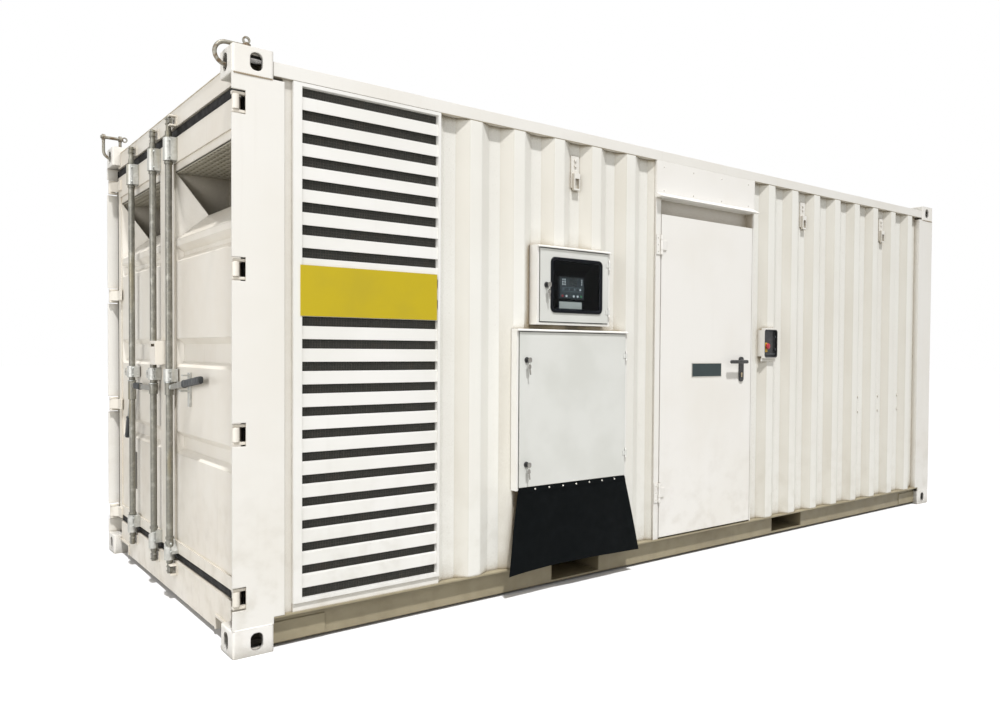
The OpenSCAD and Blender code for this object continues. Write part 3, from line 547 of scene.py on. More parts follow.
@dataclass(frozen=True)
class PowderCoat:
    """Polyester powder coat baked on sheet steel: matt-satin, a tight wrinkle of about a
    millimetre that breaks up highlights, nearly even in colour, with painted shade in
    narrow gaps."""

    name: str = "textured_polyester_powder_coat"
    base: str = "#e1e2dd"
    shade: str = "#d9dad4"
    rough: float = 0.46
    joint: str = "#4a453b"

    def build(self) -> bpy.types.Material:
        """The material."""
        p = Patterns(self.name)
        colour = p.blend(p.span(p.noise(260), 0.35, 0.7), self.base, self.shade)
        # Painted shade: narrow gaps, such as round the doors, darken by ambient
        # occlusion.
        colour = p.blend(p.span(p.crevice(12), 0.2, 0.65, 0, 0.65), colour, self.joint)
        normal, _ = p.edges(2.5)
        normal = p.bumps(normal, [(p.noise(300, 1), 0.35), (p.noise(1.6, 2), 0.05)])
        return p.surface(Base_Color=colour, Normal=normal, IOR=1.5, Roughness=self.rough)


@dataclass(frozen=True)
class HotDipZinc:
    """Hot-dip galvanised steel tube and plate: dull silver spangle about 9 mm across,
    each crystal with its own tone and gloss, with white bloom and yellowish stains."""

    name: str = "hot_dip_galvanised_steel"
    base: str = "#807e73"
    dark: str = "#73716a"
    stain: str = "#8c8161"
    spangle_mm: float = 9.0
    bloom: str = "#bfbfb4"
    joint: str = "#4c4a42"

    def build(self) -> bpy.types.Material:
        """The material."""
        p = Patterns(self.name)
        scale = 1 / (self.spangle_mm * MM)
        cell = add(p.tree, "TexVoronoi", {"Vector": p.place, "Scale": scale})
        tone = add(p.tree, "SeparateColor", {0: cell.outputs["Color"]}).outputs[0]
        colour = p.blend(tone, self.dark, self.base)
        colour = p.blend(p.span(p.noise(45, 4), 0.5, 0.75, 0, 0.4), colour, self.bloom)
        stain = p.span(p.noise(60, 4, (1, 1, 9)), 0.54, 0.72, 0, 0.6)
        colour = p.blend(stain, colour, self.stain)
        colour = p.blend(p.times(p.crevice(12), 0.7), colour, self.joint)
        normal, _ = p.edges(1.2)
        normal = p.bumps(normal, [(p.noise(6, 3), 0.02)])
        return p.surface(Base_Color=colour, Normal=normal, Metallic=0.45,
                         Roughness=p.span(tone, 0, 1, 0.34, 0.44))


@dataclass(frozen=True)
class ForgedSteel:
    """Forged, weathered carbon steel: dark scale, brown rust, rubbed bright edges."""

    name: str = "weathered_forged_steel"
    base: str = "#8e8b80"
    rust: str = "#6b5a45"
    rubbed: str = "#b9b7ae"

    def build(self) -> bpy.types.Material:
        """The material."""
        p = Patterns(self.name)
        normal, edge = p.edges(2)
        colour = p.blend(p.span(p.noise(18, 5), 0.42, 0.66), self.base, self.rust)
        colour = p.blend(p.times(edge, 0.6), colour, self.rubbed)
        normal = p.bumps(normal, [(p.noise(4, 4), 0.18)])
        return p.surface(Base_Color=colour, Normal=normal, Metallic=0.7,
                         Roughness=p.span(p.noise(9), 0.3, 0.7, 0.4, 0.65))


@dataclass(frozen=True)
class Rubber:
    """Vulcanised rubber, pressed or extruded: near black, matt, finely grained, with pale
    dust where hands and rain leave it."""

    name: str = "vulcanised_rubber"
    base: str = "#15191b"
    dust: str = "#45474a"
    dust_share: float = 0.35
    rough: float = 0.62
    grain_mm: float = 2.2
    gloss: float = 0.5

    def build(self) -> bpy.types.Material:
        """The material."""
        p = Patterns(self.name)
        dust = p.span(p.noise(75, 5), 0.45, 0.8, 0, self.dust_share)
        colour = p.blend(dust, self.base, self.dust)
        grain = [(p.noise(120, 2), 0.8), (p.noise(self.grain_mm, 3), 0.06)]
        rough = p.span(p.noise(40), 0.3, 0.7, self.rough - 0.08, self.rough + 0.08)
        return p.surface(Base_Color=colour, Normal=p.bumps(None, grain), IOR=1.52,
                         Specular_IOR_Level=self.gloss, Roughness=rough)


@dataclass(frozen=True)
class Moulded:
    """Injection-moulded plastic from a spark-eroded tool: even colour, soft sheen and a
    fine grain drawn at a millimetre and a half."""

    name: str = "moulded_polyamide"
    base: str = "#1a1a1b"
    rough: float = 0.36
    scuff: str = "#8a8a86"

    def build(self) -> bpy.types.Material:
        """The material."""
        p = Patterns(self.name)
        colour = p.blend(p.span(p.noise(24, 3), 0.4, 0.8, 0, 0.12), self.base, self.scuff)
        normal = p.bumps(None, [(p.noise(1.5, 2), 0.03)])
        return p.surface(Base_Color=colour, Normal=normal, IOR=1.53, Roughness=self.rough)


@dataclass(frozen=True)
class Film:
    """Cast vinyl film rolled on a steel plate: flat even colour, a satin skin that shows
    the plate's slight waves, edges a little faded."""

    name: str = "cast_vinyl_film"
    base: str = "#c9b31f"
    faded: str = "#c4ae2c"
    rough: float = 0.42

    def build(self) -> bpy.types.Material:
        """The material."""
        p = Patterns(self.name)
        colour = p.blend(p.span(p.noise(180, 3), 0.4, 0.75), self.base, self.faded)
        normal = p.bumps(None, [(p.noise(140, 1), 0.25), (p.noise(5, 2), 0.012)])
        return p.surface(Base_Color=colour, Normal=normal, IOR=1.46, Roughness=self.rough)


@dataclass(frozen=True)
class PaintedMesh:
    """Dark painted fine mesh behind the louvres: near-black brown, with a pale thread
    drawn every 6 mm because the real 2 mm weave is too fine to show."""

    name: str = "painted_fine_mesh"
    base: str = "#363733"
    thread: str = "#55544c"
    pitch_mm: float = 6.0
    dust: str = "#4d4234"

    def build(self) -> bpy.types.Material:
        """The material."""
        p = Patterns(self.name)
        threads = []
        for axis in ("X", "Z"):
            phase = p.times(p.axis(axis), 1 / (self.pitch_mm * MM))
            threads.append(p.span(p.maths("PINGPONG", phase, 0.5), 0.36, 0.5))
        weave = p.maths("MAXIMUM", *threads)
        colour = p.blend(p.times(weave, 0.5), self.base, self.thread)
        colour = p.blend(p.span(p.noise(60, 4), 0.5, 0.8, 0, 0.4), colour, self.dust)
        normal = p.bumps(None, [(weave, 0.5)])
        return p.surface(Base_Color=colour, Normal=normal, Roughness=0.6, Metallic=0.1)


@dataclass(frozen=True)
class Board:
    """Resin-faced plywood deck: brown film, faint grain along the floor, scuffed."""

    name: str = "resin_faced_plywood"
    base: str = "#5d4f3e"
    scuff: str = "#8b8071"
    grain: str = "#463a2c"

    def build(self) -> bpy.types.Material:
        """The material."""
        p = Patterns(self.name)
        grain = p.noise(7, 4, (22, 1, 1))
        colour = p.blend(p.span(grain, 0.35, 0.7, 0, 0.5), self.base, self.grain)
        colour = p.blend(p.span(p.noise(110, 5), 0.5, 0.75, 0, 0.6), colour, self.scuff)
        normal = p.bumps(None, [(grain, 0.12)])
        return p.surface(Base_Color=colour, Normal=normal, Roughness=0.55, IOR=1.5)


@dataclass(frozen=True)
class ClearPane:
    """Cast acrylic pane, thin, flat and faintly tinted, with a reflection-cutting coat:
    what is behind it is seen straight through, under the faint mirror image it leaves."""

    name: str = "cast_clear_acrylic"
    tint: str = "#eef2f4"
    coat: float = 0.85
    straight: float = 0.04

    def build(self) -> bpy.types.Material:
        """The material: tinted light goes straight through. The mirror image is the share
        straight seen straight on, grows to all at a glancing view by Schlick's rule, and
        is cut by the coat."""
        p = Patterns(self.name)
        wipe = p.span(p.noise(30, 4), 0.45, 0.8, 0.01, 0.03)
        image = add(p.tree, "BsdfPrincipled", {
            "Base Color": linear("#ffffff"), "Metallic": 1.0, "Roughness": wipe})
        through = add(p.tree, "BsdfTransparent", {0: linear(self.tint)})
        slant = add(p.tree, "LayerWeight", {"Blend": 0.5}).outputs["Facing"]
        grown = p.times(p.maths("POWER", slant, 5.0), 1 - self.straight)
        share = p.times(p.maths("ADD", grown, self.straight), 1 - self.coat)
        both = add(p.tree, "MixShader", {0: share, 1: through.outputs[0],
                                         2: image.outputs[0]})
        add(p.tree, "OutputMaterial", {"Surface": both.outputs[0]})
        return p.material


@dataclass(frozen=True)
class Nickel:
    """Nickel-plated steel of keys, rings, rivets and pins: bright, finely scratched."""

    name: str = "nickel_plated_steel"
    base: str = "#c9c6bd"
    rough: float = 0.28
    dull: str = "#8f8a7c"

    def build(self) -> bpy.types.Material:
        """The material."""
        p = Patterns(self.name)
        colour = p.blend(p.span(p.noise(8, 3), 0.45, 0.8, 0, 0.5), self.base, self.dull)
        scratches = [(p.noise(1.2, 2, (1, 1, 5)), 0.015)]
        rough = p.span(p.noise(5), 0.3, 0.7, self.rough - 0.06, self.rough + 0.1)
        return p.surface(Base_Color=colour, Normal=p.bumps(None, scratches), Metallic=1.0,
                         Roughness=rough)


@lru_cache(maxsize=None)
def material_of(finish: object) -> bpy.types.Material:
    """The one material of a finish."""
    return finish.build()


# Wall enamel with painted shade: khaki-brown at the valley tops under the top rail, and
# darker slopes facing the door end.
WALL = Enamel("sprayed_enamel_on_corrugated_sheet", "#f2f1ea", "#eeece4", fold_mm=14.0,
              wave_mm=1.2, grime_share=0.35, streak=0.05, painted_shade_mm=110.0,
              painted_shade="#84745a", painted_shade_span=(0.24, 0.52, 0.97), film=0.36)
# Frame enamel with painted shade in its recesses, under the top castings and at the top
# of the strip beside the louvre.
FRAME_PAINT = Enamel("sprayed_enamel_on_frame", "#efede7", "#ebe8e0", streak=0.05,
                     painted_shade_mm=80.0, painted_shade_span=(0.3, 0.75, 0.6))
# Painted shadow: brown under the personnel door's head lip, over the recess above the
# leaf.
HEAD_PAINT = Enamel("sprayed_enamel_under_the_head", "#f3f1ec", "#efece4", streak=0.05,
                    painted_shade="#8d7e65", painted_shade_mm=170.0, painted_shade_span=(0.25, 0.62, 0.8))
WELD_PAINT = Enamel("thin_enamel_on_weld_beads", "#b09f86", "#96836a", grime_share=0.8,
                    fold_mm=1.5, wave_mm=0.2)
# Inlet ceiling sheets: the khaki-grey tone is painted shade of these downward sheets
# inside the inlets.
SHADED_SHEET_PAINT = Enamel("enamel_on_slotted_sheets_in_painted_shade", "#b4ae9e", "#a59f8f",
                     fold_mm=1.0, wave_mm=0.3)
LEAF_PAINT = Enamel("sprayed_enamel_on_door_leaf", "#f5f3ee", "#f1eee7", grime_share=0.35,
                    streak=0.02, wave_mm=0.5)
# Cargo door enamel with painted shade in the recessed panels and corners.
DOOR_PAINT = Enamel("sprayed_enamel_on_cargo_doors", "#ede8dd", "#e6dfd2", streak=0.08,
                    grime_share=0.55, painted_shade_mm=60.0, painted_shade_span=(0.3, 0.75, 0.5))
# Painted shade: grey-brown deep inside the air inlets.
HOPPER_PAINT = Enamel("sprayed_enamel_in_air_inlets", "#e9e4d9", "#dfd8ca", streak=0.1,
                      painted_shade="#686256", painted_shade_mm=330.0, painted_shade_span=(0.32, 0.78, 0.9))
LOUVRE_PAINT = Enamel("sprayed_enamel_on_louvres", "#f4f3ef", "#edece6", fold_mm=3.0,
                      wave_mm=0.3, grime_share=0.35, streak=0.04)
# Casting enamel with near-black painted shade deep inside the holes.
CASTING_PAINT = Enamel("sprayed_enamel_on_cast_steel", "#f3f1ec", "#ece8df", fold_mm=6.0,
                       wave_mm=0.5, grime_share=0.6, worn="#8f8263", worn_share=0.4,
                       painted_shade="#15120f", painted_shade_mm=150.0, painted_shade_span=(0.55, 0.72, 0.97))
# Bottom rails: the khaki colour is painted shade of white rails under the wall's ledge;
# the dirt and wear on it are their own.
RAIL_SHADE_PAINT = Enamel("rail_enamel_in_painted_khaki_shade", "#a0967c", "#948a71", "#655a41",
                    "#8b7f62", worn_share=0.4, grime_share=0.5, rough=0.5)
UNDER_PAINT = Enamel("bitumen_underframe_coating", "#8d8268", "#7d735b", "#5b523f",
                     "#6f6650", grime_share=0.6, rough=0.6)
CASE_COAT = PowderCoat("powder_coat_on_cabinet_cases", "#f3f2ee", "#efede7")
DOOR_COAT = PowderCoat()
ZINC = HotDipZinc()
SLEEVE_ZINC = HotDipZinc("galvanised_bar_sleeves", "#c3c3be", "#b0b0aa", "#a39c84", 12.0)
STEEL = ForgedSteel()
NICKEL = Nickel()
SKIRT_RUBBER = Rubber("cut_rubber_sheet", "#070a0b", "#14181a", 0.3, 0.6, gloss=0.05)
SEAL_RUBBER = Rubber("extruded_door_seal_rubber", "#0b0a09", "#1f1b17", 0.35, gloss=0.12)
GRIP_RUBBER = Rubber("pressed_grip_rubber", "#1d2021", "#3c4043", rough=0.5)
BACKING = Rubber("matt_black_mounting_plate", "#090d15", "#10151d", 0.2, 0.8, 1.5,
                 gloss=0.04)
FRAME_RUBBER = Rubber("extruded_window_rubber", "#0a0d13", "#171b21", 0.2, 0.34, 3.0,
                      gloss=0.1)
BLACK = Moulded()
CHARCOAL = Moulded("moulded_controller_front", "#1b2024", 0.42)
RED = Moulded("moulded_red_button", "#b3202a", 0.3)
YELLOW = Moulded("moulded_yellow_ring", "#e2b62b", 0.4)
GREY = Moulded("moulded_grey_strip", "#2f3335", 0.5)
SCREEN = Moulded("liquid_crystal_screen", "#1d2320", 0.15)
LEGEND = Moulded("pale_printed_bars", "#6c757b", 0.5)
BAND = Film("cast_vinyl_film", "#c2ac10", "#bba61a")
PALE_FILM = Film("pale_printed_film", "#d8d6cd", "#c9c6bb")
TEAL_FILM = Film("dark_printed_film", "#1e2f30", "#26393a", 0.34)
DARK_FILM = Film("dark_painted_plate", "#4a4740", "#575248", 0.5)
PANEL_GREY = Moulded("moulded_controller_bezel", "#262e30", 0.45)
KEY_WHITE = Moulded("moulded_white_keys", "#f2f4f2", 0.4)
GREEN = Moulded("moulded_green_key", "#2f8a4c", 0.35)
BRASS = Nickel("satin_nickel_on_brass", "#b9a98c", 0.34)
KEY_STEEL = Nickel("nickel_plated_keys", "#8f8d88", 0.3)
ZINC_BOLT = Nickel("bright_zinc_plated_bolts", "#b9bcb8", 0.32)
WIRE = Rubber("plastic_coated_wire", "#4a463f", "#6b6456", 0.4, 0.5)
SEALANT = Rubber("gun_applied_sealant", "#b9ae97", "#9c9078", 0.4, 0.5, 6.0)
MESH = PaintedMesh()
DECK = Board()
PANE = ClearPane()

NODE_FINISH: dict[object, tuple[str, ...]] = {
    WALL: ("roof_panel", "near_wall", "far_wall", "plain_end_wall"),
    FRAME_PAINT: ("corner_posts", "top_side_rails", "louvre_surrounds", "wall_brackets",
                  "stop_box"),
    HEAD_PAINT: ("personnel_door_frame",),
    LEAF_PAINT: ("personnel_door_leaf", "door_head_panel"),
    CASTING_PAINT: ("bottom_castings", "top_castings"),
    DOOR_PAINT: ("end_headers", "door_sill", "cargo_hinge_lugs", "lock_keepers",
                 "near_leaf_frame", "near_leaf_panel", "far_leaf_frame",
                 "far_leaf_panel", "lock_box"),
    HOPPER_PAINT: ("near_inlet_hopper", "far_inlet_hopper"),
    LOUVRE_PAINT: ("louvre_frames", "louvre_blades"),
    RAIL_SHADE_PAINT: ("bottom_side_rails", "plain_end_sill"),
    UNDER_PAINT: ("floor_crossmembers", "fork_pockets"),
    DECK: ("floor_deck",),
    MESH: ("louvre_screens",),
    BAND: ("name_band_plate",),
    TEAL_FILM: ("personnel_door_plate",),
    DARK_FILM: ("far_leaf_plate",),
    BLACK: ("handle_plate", "personnel_door_handle"),
    CHARCOAL: ("control_panel",),
    CASE_COAT: ("control_box_body", "power_box_body", "cabinet_hinges"),
    DOOR_COAT: ("control_box_door", "power_box_door"),
    RED: ("stop_button",),
    SEAL_RUBBER: ("near_leaf_gasket", "far_leaf_gasket"),
    SLEEVE_ZINC: ("near_lock_fittings", "far_lock_fittings"),
    ZINC: ("lock_bar_near", "lock_bar_middle", "lock_bar_outer"),
    STEEL: ("lifting_shackles", "shackle_pins"),
    FRAME_RUBBER: ("control_box_window",),
    SKIRT_RUBBER: ("rubber_skirt",),
}


def finish_nodes() -> None:
    """Gives every CAD node its finish."""
    for finish, names in NODE_FINISH.items():
        for name in names:
            slots = frame["nodes"][name].data.materials
            slots.clear()
            slots.append(material_of(finish))
    LOG.info("finished %d solid nodes", sum(len(names) for names in NODE_FINISH.values()))


def piece(name: str, form: Form, finish: object, body: str, slot: str,
          sharp: float = 35.0) -> bpy.types.Object:
    """Makes a piece's mesh in place, finishes it and lets it ride.

    Args:
        name: the piece's name.
        form: its shape, in millimetres, in the object's frame.
        finish: its finish.
        body: the CAD body that it moves with.
        slot: the record's material slot; not used.
        sharp: folds above this angle, in degrees, stay sharp.

    Returns:
        The object, at the origin.
    """
    mesh = bpy.data.meshes.new(name)
    corners = np.concatenate([group.ravel() for group in form.faces])
    totals = np.concatenate([np.full(len(group), group.shape[1]) for group in form.faces])
    mesh.vertices.add(len(form.points))
    mesh.vertices.foreach_set("co", (form.points * MM).astype(np.float32).ravel())
    mesh.loops.add(len(corners))
    mesh.loops.foreach_set("vertex_index", corners.astype(np.int32))
    mesh.polygons.add(len(totals))
    starts = np.concatenate([[0], np.cumsum(totals)[:-1]])
    mesh.polygons.foreach_set("loop_start", starts.astype(np.int32))
    mesh.polygons.foreach_set("use_smooth", np.ones(len(totals), bool))
    mesh.update(calc_edges=True)
    mesh.validate()
    mesh.set_sharp_from_angle(angle=math.radians(sharp))
    made = bpy.data.objects.new(name, mesh)
    bpy.context.scene.collection.objects.link(made)
    made.data.materials.append(material_of(finish))
    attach(made, body)
    LOG.info("%s: %d faces on %s", name, len(totals), body)
    return made


# ---- camera, light and ground ---------------------------------------------------------


@dataclass(frozen=True)
class Viewpoint:
    """Standing height camera at the near door-end corner, looking along the near side."""

    place: Point = (-4.169, -4.705, 1.319)
    yaw: float = 51.15
    pitch: float = -1.30
    roll: float = 0.41
    lens: float = 29.49
    sensor: float = 36.0
    shift: Pair = (-0.0425, 0.0091)

    def build(self) -> None:
        """Makes the camera: its axes are the yaw and pitch directions, then rolled."""
        yaw, pitch, roll = (math.radians(a) for a in (self.yaw, self.pitch, self.roll))
        ahead = np.array([math.cos(pitch) * math.cos(yaw),
                          math.cos(pitch) * math.sin(yaw), math.sin(pitch)])
        right = np.array([math.sin(yaw), -math.cos(yaw), 0.0])
        up = np.cross(right, ahead)
        x = math.cos(roll) * right + math.sin(roll) * up
        y = -math.sin(roll) * right + math.cos(roll) * up
        data = bpy.data.cameras.new("viewpoint")
        data.lens, data.sensor_width = self.lens, self.sensor
        data.shift_x, data.shift_y = self.shift
        camera = bpy.data.objects.new("viewpoint", data)
        bpy.context.scene.collection.objects.link(camera)
        matrix = np.eye(4)
        matrix[:3, :3] = np.column_stack([x, y, -ahead])
        matrix[:3, 3] = self.place
        camera.matrix_world = matrix.T.tolist()
        bpy.context.scene.camera = camera


@dataclass(frozen=True)
class Studio:
    """Plain soft studio: a high key square to the near side, a soft panel of light for
    each seen side, an even warm surround, and a pale floor that keeps the shadow."""

    key: float = 3.15
    key_way: Point = (0.10, 0.43, -0.90)
    key_width: float = 3.0
    panels: tuple[tuple[float, Point, Point], ...] = (
        (260.0, (-9.5, -3.0, 2.6), (-3.0, 0.0, 1.2)),
        (85.0, (-2.6, -7.6, 4.4), (-1.4, -1.2, 1.3)))
    panel_size: Pair = (5.0, 4.0)
    surround: float = 0.20
    surround_tint: str = "#fffaf2"
    key_tint: str = "#fdfdff"
    floor_half: float = 60.0

    def lamp(self, name: str, kind: str, energy: float, way: Point) -> bpy.types.Light:
        """Adds a lamp that shines one way.

        Args:
            name: its name.
            kind: SUN or AREA.
            energy: its strength.
            way: the direction its light travels in.

        Returns:
            The lamp's data; its object has the same name.
        """
        data = bpy.data.lights.new(name, kind)
        data.energy = energy
        data.color = linear(self.key_tint)[:3]
        lamp = bpy.data.objects.new(name, data)
        bpy.context.scene.collection.objects.link(lamp)
        lamp.rotation_mode = "QUATERNION"
        lamp.rotation_quaternion = Vector(way).to_track_quat("-Z", "Y")
        return data

    def build(self) -> None:
        """Makes the lamps, the surround and the floor."""
        key = self.lamp("key", "SUN", self.key, self.key_way)
        key.angle = math.radians(self.key_width)
        for number, (power, at, to) in enumerate(self.panels):
            data = self.lamp(f"panel_{number}", "AREA", power, tuple(np.subtract(to, at)))
            data.shape = "RECTANGLE"
            data.size, data.size_y = self.panel_size
            bpy.data.objects[f"panel_{number}"].location = at
        world = bpy.data.worlds.new("surround")
        bpy.context.scene.world = world
        world.use_nodes = True
        tree = world.node_tree
        tree.nodes.clear()
        path = add(tree, "LightPath").outputs
        seen = path["Is Camera Ray"]
        for ray in ("Is Glossy Ray", "Is Transmission Ray"):
            both = add(tree, "Math", {0: seen, 1: path[ray]}, operation="MAXIMUM")
            seen = both.outputs[0]
        light = add(tree, "Background", {0: linear(self.surround_tint), 1: self.surround})
        white = add(tree, "Background", {0: (1, 1, 1, 1), 1: 1.0})
        mixed = add(tree, "MixShader", {0: seen, 1: light.outputs[0],
                                        2: white.outputs[0]})
        add(tree, "OutputWorld", {"Surface": mixed.outputs[0]})
        self.floor()

    def floor(self) -> None:
        """Makes the floor: a wide square under the castings, pale and matt, whose own
        light on the object is that of a grey floor."""
        half = self.floor_half
        mesh = bpy.data.meshes.new("studio_floor")
        corners = [(-half, -half, 0), (half, -half, 0), (half, half, 0), (-half, half, 0)]
        mesh.from_pydata(corners, [], [(0, 1, 2, 3)])
        ground = bpy.data.objects.new("studio_floor", mesh)
        bpy.context.scene.collection.objects.link(ground)
        p = Patterns("matt_studio_vinyl")
        colour = p.blend(p.noise(900, 2), "#fafafa", "#f8f8f8")
        bounced = add(p.tree, "LightPath").outputs["Is Diffuse Ray"]
        colour = p.blend(bounced, colour, "#abaaa5")
        mesh.materials.append(p.surface(Base_Color=colour, Roughness=0.95,
                                        Specular_IOR_Level=0.0))


# ---- the object's own dressing --------------------------------------------------------


@dataclass(frozen=True)
class Corrugation:
    """Wave of the side walls: crests and valleys joined by straight slopes."""

    pitch: float = 278.0
    crest: float = 8.0
    valley: float = 44.0
    valley_x: float = 1092.0
    half_valley: float = 35.0
    slope: float = 68.0

    def depth(self, x: float) -> float:
        """Depth of the wall behind the castings' side plane.

        Args:
            x: distance from the door end.

        Returns:
            The crest's depth, the valley's, or between them on a slope.
        """
        off = abs((x - self.valley_x + self.pitch / 2) % self.pitch - self.pitch / 2)
        share = min(max((self.half_valley + self.slope - off) / self.slope, 0), 1)
        return self.crest + (self.valley - self.crest) * share


@dataclass(frozen=True)
class FrameDressing:
    """Weld beads, seam sealant and wall bolts of the container's frame."""

    joint_z: Pair = (119.0, 2472.0)
    joint_x: Pair = (8.0, 172.0)
    post_in: float = 3.5
    end_y: Pair = (14.0, 98.0)
    end_in: float = 7.0
    rail_x: float = 179.0
    rail_in: float = 44.0
    rail_z: Pair = (24.0, 110.0)
    corner_x: float = 227.0
    corner_in: float = 24.5
    corner_z: Pair = (152.0, 2470.0)
    head_x: tuple[Pair, ...] = ((1020.0, 2559.0), (3535.0, 5830.0))
    head_in: float = 9.0
    head_z: float = 2490.0
    header_e: float = 47.5
    header_half: float = 1050.0
    header_z: float = 2551.0
    bolt_x: tuple[float, ...] = (4953.0, 5260.0, 5570.0)
    bolt_z: tuple[float, ...] = (845.0, 963.0)

    def welds(self) -> Form:
        """Beads where the posts and rails meet the bottom castings."""
        foot, top = (near(self.rail_x, self.rail_in, z) for z in self.rail_z)
        return self.beads(self.joint_z[0], bead(foot, top, (0, -1, 0)))

    def beads(self, z: float, *more: Form) -> Form:
        """Beads at one height on all four corners, and more that go with them."""
        along = bead(*(near(x, self.post_in, z) for x in self.joint_x), (0, -1, 0))
        plain = bead(*(door(self.end_in, NEAR_Y + y, z) for y in self.end_y), (-1, 0, 0))
        return both_sides(joined(both_ends(joined(along, *more)), plain.mirrored(0)))

    def sealant(self) -> Form:
        """Thin rounds of sealant in the upright corner between post and louvre surround,
        along the head of the walls and under the door end's header."""
        side = (0, -1, 0)
        lines = [bead(*(near(self.corner_x, self.corner_in, z) for z in self.corner_z),
                      side, 3.2, 160)]
        lines += [bead(*(near(x, self.head_in, self.head_z) for x in ends), side, 2.6,
                       210) for ends in self.head_x]
        header = bead(*(door(self.header_e, y, self.header_z)
                        for y in (-self.header_half, self.header_half)),
                      (-1, 0, 0), 2.6, 190)
        return joined(both_sides(joined(*lines)), header)

    def bolts(self) -> Form:
        """Low domed bolts through the near wall, in pairs one over the other."""
        dot, wall = rivet(9.0, 7.0), Corrugation()
        return joined(*[dot.on_near(x, wall.depth(x), z)
                        for x in self.bolt_x for z in self.bolt_z])

    def dress(self) -> None:
        """Makes the pieces."""
        ride = ("container", "frame_paint", 60)
        piece("frame_welds", self.welds(), CASTING_PAINT, *ride)
        piece("top_welds", self.beads(self.joint_z[1]), WELD_PAINT, *ride)
        piece("frame_sealant", self.sealant(), SEALANT, *ride)
        piece("wall_bolts", self.bolts(), WALL, "container", "wall_paint")


@dataclass(frozen=True)
class LouvreMesh:
    """Welded square mesh behind the louvre blades: 1.8 mm wires at a half-inch pitch."""

    open_x: Pair = (305.0, 1004.0)
    open_z: Pair = (205.0, 2472.0)
    depth: float = 28.0
    behind: float = 1.6
    pitch: float = 12.7
    wire: float = 0.9

    def wires(self) -> Form:
        """Upright and level wires: six-sided rounds repeated at the pitch."""
        (x, _), (z, _) = self.open_x, self.open_z
        width, height = np.diff(self.open_x)[0], np.diff(self.open_z)[0]
        upright = turned([(self.wire, 0), (self.wire, height)], 6)
        upright = upright.at(near(x, self.depth, z))
        level = turned([(self.wire, 0), (self.wire, width)], 6)
        level = level.at(near(x, self.depth + self.behind, z), Facing.ALONG)
        across = np.arange(self.pitch / 2, width, self.pitch)
        up = np.arange(self.pitch / 2, height, self.pitch)
        return joined(upright.repeated(np.outer(across, (1, 0, 0))),
                      level.repeated(np.outer(up, (0, 0, 1))))

    def dress(self) -> None:
        """Makes the meshes of both sides."""
        wires = self.wires()
        piece("near_louvre_wires", wires, WIRE, "container", "screen_mesh", 60)
        piece("far_louvre_wires", wires.mirrored(1), WIRE, "container", "screen_mesh", 60)


